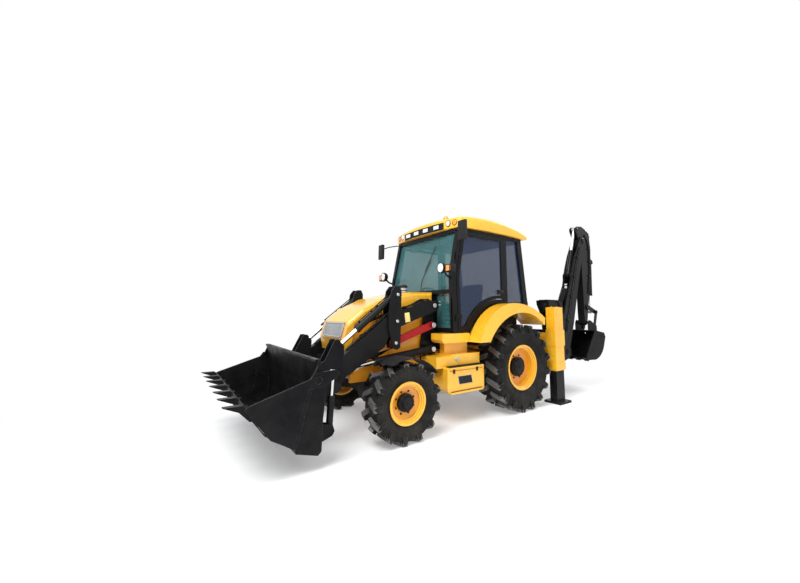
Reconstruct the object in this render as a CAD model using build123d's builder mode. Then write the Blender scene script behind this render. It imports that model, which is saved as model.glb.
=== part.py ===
from build123d import *
from math import cos, hypot, radians, sin
import os

# A backhoe loader: loader bucket and arms in front, cab and four wheels in the middle,
# a folded digging arm behind. X points forward, Y to the machine's left, Z up.
# The datum is the point of the ground under the middle of the rear axle. Millimetres.
os.makedirs("parts", exist_ok=True)

# Wheels and axles
wheelbase = 2153
front_tyre_radius = 460
front_tyre_width = 335
front_track = 1935
front_rim_radius = 232
rear_tyre_radius = 661
rear_tyre_width = 470
rear_track = 1735
rear_rim_radius = 330
kingpin_y = 715

# Frame
rail_outer = 360
rail_wall = 60
rail_low_z = 770
rail_high_z = 900
rail_front = wheelbase + 327
tower_in = 462
tower_wall = 30

# Loader linkage, seen from the side as (x, z)
arm_pivot = (1440, 1615)
tilt_link_pin = (1455, 1335)
lift_base_pin = (1455, 1000)
lever_pin = (2070, 1400)
lever_low_pin = (lever_pin[0] + tilt_link_pin[0] - arm_pivot[0],
                 lever_pin[1] + tilt_link_pin[1] - arm_pivot[1])
lever_top_pin = (2068, 1750)
lift_eye_pin = (2596, 860)
bucket_pin = (2866, 665)
bracket_pin = (2830, 1112)
loader_y = 590
arm_width = 110
lever_wall = 22
side_gap = 6
pin_radius = 28

# Loader bucket, its jaw and its teeth
bucket_half = 1162
jaw_wall = 22
jaw_gap = 5
jaw_pin = (3237, 855)
jaw_ear_pin = (3062, 900)
clam_base_pin = (3078, 345)
clam_y = 1065
tooth_count = 7

# Cab
cab_half = 850
tub_half = rear_track / 2 - rear_tyre_width / 2 - 42.5
cab_floor = 1060
pillar = 70
roof_half = cab_half + 50
cab_roof_low = 2790
cab_roof_high = 2965
glass_wall = 8
hood_half = 430
pillar_bend = (1285, 2050)
pillar_top = (1150, 2790)

# Stabilisers and rear frame
leg_x = -905
leg_y = 1045
leg_depth = 250
leg_width = 170
leg_low = 530
leg_high = 1600
pad_half = 160
rear_face = -1030
rail_beam_low = 560
rail_beam_high = 1150

# Digging arm at the back, seen from the side as (x, z)
digger_y = 660
king_x = -1310
boom_foot = (-1680, 760)
boom_ram_base = (-1327, 1245)
boom_ram_eye = (-1960, 2060)
dipper_ram_base = (-2020, 2270)
dipper_pivot = (-2500, 3050)
dipper_tail = (-2334, 3288)
bucket_ram_base = (-2900, 2600)
lever_pivot = (-2560, 1620)
lever_end = (-2840, 1520)
digger_pin = (-2500, 1300)
link_pin = (-2736, 1190)
boom_half = 100
dipper_half = 78
digger_bucket_half = 300

run_gap = 0.4
seat_gap = 0.3
both_sides = (1, -1)


def side(y):
    """The plane across y that is drawn in x and z and faces the machine's right."""
    return Plane(origin=(0, y, 0), x_dir=(1, 0, 0), z_dir=(0, -1, 0))


def flat_face(y, points, holes=(), corner=0):
    """An outline in x and z at y, with round holes given as (x, z, radius)."""
    with BuildSketch(side(y)) as face:
        with BuildLine():
            Polyline(*points, close=True)
        make_face()
        if corner:
            fillet(face.vertices(), corner)
        for x, z, radius in holes:
            with Locations((x, z)):
                Circle(radius, mode=Mode.SUBTRACT)
    return face.sketch


def plate(y, wall, points, holes=(), corner=0):
    """A flat plate of the given wall, centred on y."""
    extrude(flat_face(y + wall / 2, points, holes, corner), amount=wall)


def pin(spot, y_from, y_to, radius, mode=Mode.ADD):
    """A round pin or bore across the machine at an (x, z) spot."""
    with BuildSketch(side(y_to)) as face:
        with Locations(spot):
            Circle(radius)
    extrude(face.sketch, amount=y_to - y_from, mode=mode)


def link(y, width, start, start_radius, end, end_radius):
    """A bar with two round eyes, centred on y."""
    with BuildSketch(side(y + width / 2)) as face:
        with Locations(start):
            Circle(start_radius)
        with Locations(end):
            Circle(end_radius)
        make_hull()
    extrude(face.sketch, amount=width)


def block(x_from, x_to, y_from, y_to, z_from, z_to, mode=Mode.ADD):
    """A box between two corners."""
    with Locations(((x_from + x_to) / 2, (y_from + y_to) / 2, (z_from + z_to) / 2)):
        Box(x_to - x_from, y_to - y_from, z_to - z_from, mode=mode)


def along(start, end, y, start_at, end_at, radius, mode=Mode.ADD):
    """A round bar on the line between two (x, z) pins, from and to distances from the first."""
    length = hypot(end[0] - start[0], end[1] - start[1])
    way = ((end[0] - start[0]) / length, (end[1] - start[1]) / length)
    foot = (start[0] + way[0] * start_at, y, start[1] + way[1] * start_at)
    with BuildSketch(Plane(origin=foot, x_dir=(0, 1, 0), z_dir=(way[0], 0, way[1]))) as face:
        Circle(radius)
    extrude(face.sketch, amount=end_at - start_at, mode=mode)


def span(start, end):
    """The distance between two (x, z) spots."""
    return hypot(end[0] - start[0], end[1] - start[1])


def pillar_front(z):
    """The x of the windshield pillars' front face at a height above their bend."""
    return pillar_bend[0] + (z - pillar_bend[1]) * (pillar_top[0] - pillar_bend[0]) / (pillar_top[1] - pillar_bend[1])


def wheel_plane(x, hand, track, radius):
    """A plane through an axle, drawn outward across the machine and up."""
    return Plane(origin=(x, hand * track / 2, radius), x_dir=(0, hand, 0), z_dir=(hand, 0, 0))


# Tyres: a carcass with a ring of lugs that lean to each side of the middle
# name, hand, axle x, radius, width, track, rim radius, lugs a side, lug height, lug wall, lean
tyre_table = [
    ("front_left", 1, wheelbase, front_tyre_radius, front_tyre_width, front_track, front_rim_radius, 13, 30, 62, 75),
    ("front_right", -1, wheelbase, front_tyre_radius, front_tyre_width, front_track, front_rim_radius, 13, 30, 62, 75),
    ("rear_left", 1, 0, rear_tyre_radius, rear_tyre_width, rear_track, rear_rim_radius, 17, 36, 72, 95),
    ("rear_right", -1, 0, rear_tyre_radius, rear_tyre_width, rear_track, rear_rim_radius, 17, 36, 72, 95),
]
for name, hand, x, radius, width, track, rim, lugs, lug_high, lug_wall, lean in tyre_table:
    crown = radius - lug_high
    bead = width * 0.38
    axle = Axis((x, hand * track / 2, radius), (0, 1, 0))
    with BuildPart() as tyre:
        with BuildSketch(wheel_plane(x, hand, track, radius)):
            with BuildLine():
                Polyline((-bead, rim), (-bead, rim + 20), (-width * 0.49, rim + 0.42 * (crown - rim)),
                         (-width * 0.49, rim + 0.62 * (crown - rim)), (-width * 0.42, crown - 12),
                         (-width * 0.2, crown), (width * 0.2, crown), (width * 0.42, crown - 12),
                         (width * 0.49, rim + 0.62 * (crown - rim)), (width * 0.49, rim + 0.42 * (crown - rim)),
                         (bead, rim + 20), (bead, rim), close=True)
            make_face()
        revolve(axis=axle)
        for half in both_sides:
            for turn in range(lugs):
                angle = radians(360 * (turn + 0.25 * half) / lugs)
                up = Vector(sin(angle), 0, cos(angle))
                top = Vector(x, hand * track / 2, radius) + up * radius
                with BuildSketch(Plane(origin=top, x_dir=(0, 1, 0), z_dir=up)):
                    with BuildLine():
                        Polyline((half * 8, lean - lug_wall / 2), (half * width * 0.495, -lug_wall / 2),
                                 (half * width * 0.495, lug_wall / 2), (half * 8, lean + lug_wall / 2), close=True)
                    make_face()
        extrude(amount=-lug_high - 16)
        with BuildSketch(side(hand * track / 2 + width / 2)):
            with Locations((x, radius)):
                Circle(radius)
        extrude(amount=width, mode=Mode.INTERSECT)
    tyre.part.label = "tyre_" + name
    export_step(tyre.part, "parts/tyre_" + name + ".step")

# Rims: barrel, flanges, dished disc and hub
for name, hand, x, radius, width, track, rim, lugs, lug_high, lug_wall, lean in tyre_table:
    bead = width * 0.38
    barrel = rim - run_gap
    hub = 0.46 * rim
    spindle = 45
    with BuildPart() as rim_part:
        with BuildSketch(wheel_plane(x, hand, track, radius)):
            with BuildLine():
                Polyline((-bead - 12, rim + 14), (-bead - 0.5, rim + 14), (-bead - 0.5, barrel), (bead + 0.5, barrel),
                         (bead + 0.5, rim + 14), (bead + 12, rim + 14), (bead + 12, barrel - 10),
                         (bead - 8, barrel - 14), (bead - 12, barrel - 26), (bead - 34, barrel - 28),
                         (bead - 38, barrel - 40), (60, barrel - 46), (46, hub), (96, hub - 4),
                         (96, hub - 30), (122, hub - 44), (122, 0), (90, 0), (90, spindle + run_gap),
                         (10, spindle + run_gap), (10, hub), (24, hub + 6), (40, barrel - 24), (-bead - 12, barrel - 12),
                         close=True)
            make_face()
        revolve(axis=Axis((x, hand * track / 2, radius), (0, 1, 0)))
    rim_part.part.label = "rim_" + name
    export_step(rim_part.part, "parts/rim_" + name + ".step")

# Rear axle housing with its middle, tubes, mounting pads and wheel spindles
with BuildPart() as rear_axle:
    with BuildSketch(side(rear_track / 2 + 85)):
        with Locations((0, rear_tyre_radius)):
            Circle(45)
    extrude(amount=rear_track + 170)
    with BuildSketch(side(rear_track / 2 - 15)):
        with Locations((0, rear_tyre_radius)):
            Circle(95)
    extrude(amount=rear_track - 30)
    with Locations((0, 0, rear_tyre_radius)):
        Sphere(175)
    for hand in both_sides:
        block(-110, 110, hand * 330 - 40, hand * 330 + 40, rear_tyre_radius, 770)
rear_axle.part.label = "rear_axle"
export_step(rear_axle.part, "parts/rear_axle.step")


# Front axle beam, its kingpin bosses and the cradle that it hangs in
axle_z = front_tyre_radius
boss_half = 60
with BuildPart() as front_axle:
    block(wheelbase - 65, wheelbase + 65, -kingpin_y + 30, kingpin_y - 30, axle_z - 55, axle_z + 55)
    with Locations((wheelbase, 0, axle_z + 10)):
        Cylinder(150, 130, rotation=(0, 90, 0))
    block(wheelbase - 90, wheelbase + 90, -120, 120, axle_z + 50, 700)
    for hand in both_sides:
        with Locations((wheelbase, hand * kingpin_y, axle_z)):
            Cylinder(52, 2 * boss_half)
    for hand in both_sides:
        with Locations((wheelbase, hand * kingpin_y, axle_z)):
            Cylinder(22 + run_gap, 2 * boss_half, mode=Mode.SUBTRACT)
front_axle.part.label = "front_axle"
export_step(front_axle.part, "parts/front_axle.step")

# Steering knuckles with spindle, and the black mudguard that each carries
guard_radius = front_tyre_radius + 48
guard_wall = 8
arm_gap = 5
for name, hand in (("left", 1), ("right", -1)):
    with BuildPart() as knuckle:
        for up in both_sides:
            with Locations((wheelbase, hand * kingpin_y, axle_z + up * (boss_half + arm_gap + 16))):
                Cylinder(56, 32)
            low = axle_z + up * (boss_half + arm_gap + 16)
            block(wheelbase - 50, wheelbase + 50, hand * (kingpin_y + 50) - 50, hand * (kingpin_y + 50) + 50,
                  low - 16, low + 16)
        with Locations((wheelbase, hand * kingpin_y, axle_z)):
            Cylinder(22, 2 * boss_half + 60)
        block(wheelbase - 55, wheelbase + 55, hand * (kingpin_y + 82) - 20, hand * (kingpin_y + 82) + 20,
              axle_z - 97, axle_z + 97)
        shaft = sorted((hand * (kingpin_y + 82), hand * (front_track / 2 + 86)))
        pin((wheelbase, axle_z), shaft[0], shaft[1], 45)
        post = sorted((hand * (kingpin_y + 50), hand * (kingpin_y + 62)))
        block(wheelbase - 30, wheelbase + 30, post[0], post[1], axle_z + 90, axle_z + guard_radius)
        edges = sorted((hand * (kingpin_y + 115), hand * (front_track / 2 + front_tyre_width / 2)))
        with BuildSketch(side(edges[1])) as arch:
            with Locations((wheelbase, axle_z)):
                Circle(guard_radius + guard_wall)
                Circle(guard_radius, mode=Mode.SUBTRACT)
            with BuildLine():
                Polyline((wheelbase, axle_z), (wheelbase + 300, axle_z + 560), (wheelbase, axle_z + 800),
                         (wheelbase - 700, axle_z + 520), close=True)
            make_face(mode=Mode.INTERSECT)
        extrude(arch.sketch, amount=edges[1] - edges[0])
        arm = sorted((hand * (kingpin_y + 50), hand * (kingpin_y + 140)))
        block(wheelbase - 30, wheelbase + 30, arm[0], arm[1], axle_z + guard_radius - 8, axle_z + guard_radius + 4)
    knuckle.part.label = "knuckle_" + name
    export_step(knuckle.part, "parts/knuckle_" + name + ".step")



# Main frame: two rails, cross members and side plates
with BuildPart() as main_frame:
    block(rear_face + 250, rail_front, rail_outer - rail_wall, rail_outer, rail_low_z, rail_high_z)
    plate(420, 36, [(1300, 770), (1300, 1290), (1450, 1290), (2020, 1010), (rail_front + 120, 740), (rail_front + 120, 640),
                    (rail_front - 100, 640), (rail_front - 180, 770)], corner=12)
    block(1310, 1400, rail_outer, 450, rail_low_z, rail_high_z)
    block(1900, 1990, rail_outer, 405, rail_low_z, rail_high_z)
    block(rail_front - 60, rail_front + 60, rail_outer, 405, 660, rail_high_z - 60)
    block(800, 860, rail_outer, 450, rail_low_z, rail_high_z)
    block(1340, 1540, 436, tower_in, 800, 1240)
    mirror(about=Plane.XZ)
    for x in (-700, 260, 900):
        block(x, x + 80, -rail_outer, rail_outer, rail_low_z, rail_high_z)
    block(rail_front - 60, rail_front + 60, -rail_outer, rail_outer, 660, rail_high_z)
    block(wheelbase - 90, wheelbase + 90, -rail_outer, rail_outer, 700, rail_high_z)
    block(1310, 1360, -rail_outer, rail_outer, rail_low_z, rail_high_z)
main_frame.part.label = "main_frame"
export_step(main_frame.part, "parts/main_frame.step")

# Loader towers: a plate on each side of the frame, with the pins of the arm, the levelling link and the lift ram
with BuildPart() as loader_towers:
    plate(tower_in + tower_wall / 2, tower_wall,
          [(1330, 780), (1560, 780), (1560, 1060), (1530, 1330), (1510, 1640), (1460, 1690), (1410, 1690), (1370, 1640),
           (1330, 1330)], corner=20)
    for spot in (arm_pivot, tilt_link_pin, lift_base_pin):
        pin(spot, tower_in + tower_wall / 2, loader_y + arm_width / 2 + 12, pin_radius)
    mirror(about=Plane.XZ)
loader_towers.part.label = "loader_towers"
export_step(loader_towers.part, "parts/loader_towers.step")

# Engine, one plain block on four feet
with BuildPart() as engine_block:
    block(1400, 2330, -270, 270, rail_high_z + 20, 1440)
    for x in (1480, 2200):
        block(x - 50, x + 50, -rail_outer, rail_outer, rail_high_z, rail_high_z + 60)
engine_block.part.label = "engine_block"
export_step(engine_block.part, "parts/engine_block.step")

# Loader arms: two box arms with a cross tube, slotted where the lift ram's eye moves
cross_tube = (2655, 870)
eye_slot = 60
with BuildPart() as loader_arm:
    plate(loader_y, arm_width,
          [(1360, 1560), (1360, 1680), (1550, 1690), (1680, 1665), (1790, 1600), (1990, 1545), (2130, 1508), (2780, 1010),
           (2930, 700), (2930, 620), (2860, 600), (2740, 760), (2230, 1075), (2150, 1270), (1825, 1392), (1450, 1520)],
          corner=18)
    for spot in (arm_pivot, lever_pin, bucket_pin):
        pin(spot, loader_y - arm_width, loader_y + arm_width, pin_radius + run_gap, mode=Mode.SUBTRACT)
    slot = flat_face(loader_y + eye_slot / 2, [(2380, 700), (2720, 700), (2720, 930), (2650, 990), (2480, 990), (2380, 960)])
    extrude(slot, amount=eye_slot, mode=Mode.SUBTRACT)
    mirror(about=Plane.XZ)
    pin(cross_tube, eye_slot / 2 - loader_y, loader_y - eye_slot / 2, 50)
loader_arm.part.label = "loader_arm"
export_step(loader_arm.part, "parts/loader_arm.step")

# Bell cranks at the arms' middle, kept upright by the levelling links
crank_y = arm_width / 2 + side_gap + lever_wall / 2
with BuildPart() as bell_cranks:
    for shift in (-crank_y, crank_y):
        plate(loader_y + shift, lever_wall,
              [(2015, 1060), (2060, 1030), (2120, 1050), (2195, 1300), (2195, 1560), (2160, 1800), (2110, 1865),
               (2040, 1865), (2010, 1800)], corner=15)
    block(2011, 2025, loader_y - crank_y, loader_y + crank_y, 1600, 1695)
    for spot in (lever_pin, lever_low_pin, lever_top_pin):
        pin(spot, loader_y - crank_y, loader_y + crank_y + 16, pin_radius)
    mirror(about=Plane.XZ)
bell_cranks.part.label = "bell_cranks"
export_step(bell_cranks.part, "parts/bell_cranks.step")

# Levelling links between the towers and the bell cranks' low pins
with BuildPart() as levelling_links:
    link(loader_y, 50, tilt_link_pin, 48, lever_low_pin, 44)
    for spot in (tilt_link_pin, lever_low_pin):
        pin(spot, loader_y - 40, loader_y + 40, pin_radius + run_gap, mode=Mode.SUBTRACT)
    mirror(about=Plane.XZ)
levelling_links.part.label = "levelling_links"
export_step(levelling_links.part, "parts/levelling_links.step")

# Rams: name, centre y, base pin, base pin's radius, eye pin, barrel radius, rod radius, barrel end, rod start,
# eye width, mirrored
ram_table = [
    ("lift", loader_y, lift_base_pin, pin_radius, lift_eye_pin, 54, 30, 900, 100, 46, True),
    ("tilt", loader_y, lever_top_pin, pin_radius, bracket_pin, 46, 28, 700, 160, 46, True),
    ("clam", clam_y, clam_base_pin, 18, jaw_ear_pin, 34, 20, 330, 215, 44, True),
    ("boom", digger_y, boom_ram_base, pin_radius, boom_ram_eye, 56, 32, 920, 100, 60, False),
    ("dipper", digger_y, dipper_ram_base, pin_radius, dipper_tail, 48, 30, 565, 505, 56, False),
    ("bucket", digger_y, bucket_ram_base, 22, lever_end, 42, 26, 725, 660, 44, False),
]
for name, y, base, base_bore, eye, barrel_radius, rod_radius, barrel_end, rod_start, eye_width, pair in ram_table:
    length = span(base, eye)
    with BuildPart() as barrel:
        pin(base, y - eye_width / 2, y + eye_width / 2, barrel_radius - 4)
        along(base, eye, y, 20, barrel_end, barrel_radius)
        pin(base, y - barrel_radius - 2, y + barrel_radius + 2, base_bore + run_gap, mode=Mode.SUBTRACT)
        along(base, eye, y, 62, barrel_end + 1, rod_radius + run_gap, mode=Mode.SUBTRACT)
        if pair:
            mirror(about=Plane.XZ)
    barrel.part.label = name + "_barrel"
    export_step(barrel.part, "parts/" + name + "_barrel.step")
    with BuildPart() as rod:
        along(base, eye, y, rod_start, length - 20, rod_radius)
        pin(eye, y - eye_width / 2, y + eye_width / 2, rod_radius + 14)
        if pair:
            mirror(about=Plane.XZ)
    rod.part.label = name + "_rod"
    export_step(rod.part, "parts/" + name + "_rod.step")

# Pins with round heads at the arms' front ends, which stay level while the arms rise
with BuildPart() as arm_end_pins:
    bracket_side = crank_y + lever_wall / 2
    pin(bucket_pin, loader_y - bracket_side - 4, loader_y + bracket_side + 4, pin_radius)
    pin(bucket_pin, loader_y + bracket_side + 1, loader_y + bracket_side + 17, 60)
    pin(bucket_pin, loader_y - bracket_side - 17, loader_y - bracket_side - 1, 60)
    mirror(about=Plane.XZ)
arm_end_pins.part.label = "arm_end_pins"
export_step(arm_end_pins.part, "parts/arm_end_pins.step")

# Loader bucket: moldboard with end plates, brackets on the arms and jaw pins
with BuildPart() as loader_bucket:
    with BuildSketch(side(bucket_half - jaw_wall - jaw_gap)) as board:
        with BuildLine():
            Polyline((3290, 232), (3420, 252), (3410, 208), (3200, 147), (3168, 180), (3166, 480), (3175, 760),
                     (3222, 1041), (3246, 1041), (3200, 760), (3192, 500), (3200, 340))
            ThreePointArc((3200, 340), (3228, 262), (3290, 232))
        make_face()
    extrude(board.sketch, amount=2 * (bucket_half - jaw_wall - jaw_gap))
    plate(bucket_half - jaw_wall - jaw_gap - 12, 24,
          [(3415, 250), (3410, 208), (3200, 147), (3168, 180), (3166, 480), (3150, 720), (3180, 900), (3222, 1041),
           (3262, 940), (3310, 851), (3350, 640), (3418, 300)])
    for shift in (-crank_y, crank_y):
        plate(loader_y + shift, lever_wall,
              [(3167, 430), (3172, 700), (3185, 800), (3195, 900), (3010, 970), (2900, 1200), (2850, 1200), (2785, 1120),
               (2785, 1000), (2800, 640), (2850, 600), (2920, 600)], [(bucket_pin[0], bucket_pin[1], pin_radius + run_gap)])
    for shift in (-47, 47):
        plate(clam_y + shift, 20, [(3168, 260), (3168, 420), (3060, 400), (3040, 340), (3060, 300)])
    pin(clam_base_pin, clam_y - 50, clam_y + 50, 18)
    pin(jaw_pin, bucket_half - jaw_wall - jaw_gap - 24, bucket_half - 2, 34)
    mirror(about=Plane.XZ)
loader_bucket.part.label = "loader_bucket"
export_step(loader_bucket.part, "parts/loader_bucket.step")

# Jaw: the front of the bucket with its sides, floor, cutting edge and teeth
with BuildPart() as bucket_jaw:
    plate(bucket_half - jaw_wall / 2, jaw_wall,
          [(3440, 262), (3531, 319), (3644, 386), (3870, 683), (3833, 704), (3320, 872), (3280, 930), (3200, 935),
           (3062, 940), (3022, 900), (3062, 860), (3200, 785), (3320, 785), (3375, 600)],
          [(jaw_pin[0], jaw_pin[1], 34 + run_gap)])
    pin(jaw_ear_pin, clam_y + 27, bucket_half - jaw_wall, 26)
    mirror(about=Plane.XZ)
    with BuildSketch(side(bucket_half - jaw_wall)) as floor_face:
        with BuildLine():
            Polyline((3440, 262), (3531, 319), (3644, 386), (3870, 683), (3850, 694), (3628, 404), (3522, 340),
                     (3432, 284), close=True)
        make_face()
    extrude(floor_face.sketch, amount=2 * (bucket_half - jaw_wall))
    tooth_pitch = (2 * bucket_half - 120) / (tooth_count - 1)
    for number in range(tooth_count):
        y = (number - (tooth_count - 1) / 2) * tooth_pitch
        plate(y, 75, [(3790, 572), (3815, 570), (3905, 662), (4030, 716), (3880, 716), (3850, 690)])
bucket_jaw.part.label = "bucket_jaw"
export_step(bucket_jaw.part, "parts/bucket_jaw.step")


# Hood: a thin shell over the engine, with a hinge rod inside its rear edge and notches for the cab's eyes
hood_wall = 14
hood_pin = (1318, 1790)
hood_eyes = (-300, 300)
hinge_radius = 10
hood_line = [(1300, 1570), (1300, 1818), (1700, 1806), (2130, 1712), (2450, 1560), (2640, 1400), (2690, 1180),
             (2652, 1010), (2600, 1010), (2560, 1330), (1900, 1545)]
with BuildPart() as hood:
    extrude(flat_face(hood_half, hood_line), amount=2 * hood_half)
    ridge = hood.edges().filter_by(GeomType.LINE).filter_by(lambda edge: abs(edge.tangent_at(0).Y) < 0.01)
    ridge = ridge.filter_by(lambda edge: edge.center().Z > 1360 + 0.18 * (2640 - edge.center().X))
    fillet(ridge.filter_by(lambda edge: abs(abs(edge.center().Y) - hood_half) < 1), 55)
    inner = [(1300 + hood_wall, 1500), (1300 + hood_wall, 1818 - hood_wall), (1698, 1806 - hood_wall),
             (2125, 1712 - hood_wall), (2440, 1560 - hood_wall), (2628, 1396 - hood_wall),
             (2676, 1179), (2616, 900), (1300 + hood_wall, 900)]
    cavity = flat_face(hood_half - hood_wall, inner)
    extrude(cavity, amount=2 * (hood_half - hood_wall), mode=Mode.SUBTRACT)
    for y in hood_eyes:
        block(1290, 1340, y - 15, y + 15, 1768, 1830, mode=Mode.SUBTRACT)
    pin(hood_pin, -hood_half + 60, hood_half - 60, hinge_radius)
hood.part.label = "hood"
export_step(hood.part, "parts/hood.step")

# Black panels beside the engine, under the hood's edge
with BuildPart() as engine_sides:
    plate(hood_half - hood_wall - 12, 10,
          [(1318, 1300), (1318, 1540), (1890, 1530), (2550, 1318), (2585, 1090), (2600, 905), (2030, 1020), (1450, 1296)])
    block(1318, 1400, hood_half - hood_wall - 60, hood_half - hood_wall - 12, 1296, 1330)
    block(2480, 2540, rail_outer - 20, hood_half - hood_wall - 12, rail_high_z, 930)
    mirror(about=Plane.XZ)
engine_sides.part.label = "engine_sides"
export_step(engine_sides.part, "parts/engine_sides.step")

# Grille in the nose, a frame with slats, standing on the front cross member
slat_count = 9
with BuildPart() as grille:
    block(2590, 2612, -380, 380, 935, 1330)
    block(2580, 2620, -340, 340, 985, 1290, mode=Mode.SUBTRACT)
    for number in range(slat_count):
        z = 985 + (number + 0.5) * (1290 - 985) / slat_count
        block(2592, 2610, -345, 345, z - 7, z + 7)
    block(2480, 2612, -290, 290, rail_high_z, 935)
grille.part.label = "grille"
export_step(grille.part, "parts/grille.step")

# Cab: floor tub, pillars, rings and the curved sill over the wheel arch
pillar_in = cab_half - pillar
door_hinge = (1200, cab_half + 12)
hinge_lows = (1380, 2290)
with BuildPart() as cab_frame:
    block(-430, 1250, -tub_half, tub_half, cab_floor - 40, cab_floor)
    block(-430, 700, tub_half - 20, tub_half, cab_floor, 1640)
    block(-430, 160, tub_half - 20, cab_half, 1622, 1668)
    block(960, 1250, tub_half - 20, cab_half, 1222, 1258)
    block(1225, 1250, 400, tub_half, cab_floor - 40, 1290)
    block(1225, 1250, tub_half, pillar_in, 1222, 1290)
    plate(cab_half - pillar / 2, pillar, [(1165, 1255), (1250, 1255), pillar_bend, pillar_top, (1065, 2790),
                                          (1200, 2050)])
    plate(cab_half - pillar / 2, pillar, [(85, 1640), (160, 1640), (178, 2790), (98, 2790)])
    plate(cab_half - pillar / 2, pillar, [(-430, 1622), (-325, 1622), (-175, 2790), (-280, 2790)])
    block(-290, 1150, pillar_in, cab_half, 2722, 2790)
    with BuildSketch(side(cab_half)) as band:
        with BuildLine():
            Polyline((985, 1258), (920, 1258))
            ThreePointArc((920, 1258), (770, 1462), (285, 1668))
            Polyline((285, 1668), (150, 1668), (150, 1722), (290, 1722))
            ThreePointArc((290, 1722), (812, 1500), (985, 1258))
        make_face()
    extrude(band.sketch, amount=pillar)
    block(1225, 1250, 415, 460, 1280, 1850)
    for low in hinge_lows:
        with Locations((door_hinge[0], door_hinge[1], low + 30)):
            Cylinder(14, 60)
    mirror(about=Plane.XZ)
    block(1225, 1250, -460, 460, cab_floor, 1800)
    block(1210, 1275, -cab_half, cab_half, 1790, 1850)
    block(1080, 1150, -cab_half, cab_half, 2722, 2790)
    block(-290, -215, -cab_half, cab_half, 2722, 2790)
    block(-430, -350, -cab_half, cab_half, 1622, 1690)
    block(-430, -405, -tub_half, tub_half, cab_floor, 1640)
    for x in (-300, 700):
        block(x, x + 120, -340, 340, rail_high_z, cab_floor - 40)
    for y in hood_eyes:
        block(1270, hood_pin[0], y - 10, y + 10, 1781, 1799)
        pin(hood_pin, y - 10, y + 10, 13)
        pin(hood_pin, y - 10, y + 10, hinge_radius + seat_gap, mode=Mode.SUBTRACT)
cab_frame.part.label = "cab_frame"
export_step(cab_frame.part, "parts/cab_frame.step")

# Glass fixed in the cab: windshield, low front panes, rear pane and quarter panes
with BuildPart() as cab_glass:
    shield = flat_face(pillar_in - seat_gap, [(1243, 1851), (1251, 1851), (1259, 2050), (1121, 2721), (1113, 2721), (1251, 2050)])
    extrude(shield, amount=2 * (pillar_in - seat_gap))
    back = flat_face(pillar_in - seat_gap, [(-385, 1691), (-377, 1691), (-249, 2721), (-257, 2721)])
    extrude(back, amount=2 * (pillar_in - seat_gap))
    for hand in both_sides:
        plate(hand * (cab_half - 30), glass_wall, [(-318, 1669), (84, 1669), (97, 2721), (-183, 2721)])
        edges = sorted((hand * 461, hand * (pillar_in - seat_gap)))
        block(1234, 1242, edges[0], edges[1], 1291, 1789)
cab_glass.part.label = "cab_glass"
export_step(cab_glass.part, "parts/cab_glass.step")

# Roof: bowed in plan, rounded along its top edge, with a recess in front for a strip of lamps
strip_half, strip_low, strip_high = 560, 2806, 2884
with BuildPart() as cab_roof:
    with BuildSketch(Plane.XY.offset(cab_roof_low)) as plan:
        with BuildLine():
            ThreePointArc((1130, -roof_half), (1235, 0), (1130, roof_half))
            Polyline((1130, roof_half), (-400, roof_half - 20))
            ThreePointArc((-400, roof_half - 20), (-450, 0), (-400, 20 - roof_half))
            Polyline((-400, 20 - roof_half), (1130, -roof_half))
        make_face()
    extrude(plan.sketch, amount=cab_roof_high - cab_roof_low)
    fillet(cab_roof.edges().filter_by(Axis.Z), 110)
    fillet(cab_roof.faces().sort_by(Axis.Z)[-1].edges(), 70)
    block(-300, 1040, -720, 720, cab_roof_low, cab_roof_high - 60, mode=Mode.SUBTRACT)
    block(1150, 1300, -strip_half - seat_gap, strip_half + seat_gap, strip_low - seat_gap, strip_high + seat_gap,
          mode=Mode.SUBTRACT)
cab_roof.part.label = "cab_roof"
export_step(cab_roof.part, "parts/cab_roof.step")

# Doors, hinged on the windshield pillars, each a frame with its pane
frame_bar = 52
door_wall = 40
for name, hand in (("left", 1), ("right", -1)):
    with BuildPart() as door:
        with BuildSketch(side(hand * (cab_half - 15) + door_wall / 2)) as leaf:
            with BuildLine():
                Polyline((1157, 1266), (1192, 2050), (1073, 2714), (186, 2714), (168, 1730), (291, 1730))
                ThreePointArc((291, 1730), (820, 1506), (994, 1266))
                Line((994, 1266), (1157, 1266))
            make_face()
            offset(amount=-frame_bar, mode=Mode.SUBTRACT)
        extrude(leaf.sketch, amount=door_wall)
        for low in hinge_lows:
            with Locations((door_hinge[0], hand * door_hinge[1], low + 60 + seat_gap + 20)):
                Cylinder(hinge_radius, 40)
            strap = sorted((hand * (cab_half + 3), hand * (cab_half + 18)))
            block(1100, door_hinge[0], strap[0], strap[1], low + 60 + seat_gap, low + 100 + seat_gap)
    door.part.label = "door_" + name
    export_step(door.part, "parts/door_" + name + ".step")
    with BuildPart() as pane:
        with BuildSketch(side(hand * (cab_half - 15) + glass_wall / 2)) as leaf:
            with BuildLine():
                Polyline((1157, 1266), (1192, 2050), (1073, 2714), (186, 2714), (168, 1730), (291, 1730))
                ThreePointArc((291, 1730), (820, 1506), (994, 1266))
                Line((994, 1266), (1157, 1266))
            make_face()
            offset(amount=-frame_bar - 0.3)
        extrude(leaf.sketch, amount=glass_wall)
    pane.part.label = "door_glass_" + name
    export_step(pane.part, "parts/door_glass_" + name + ".step")


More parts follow.
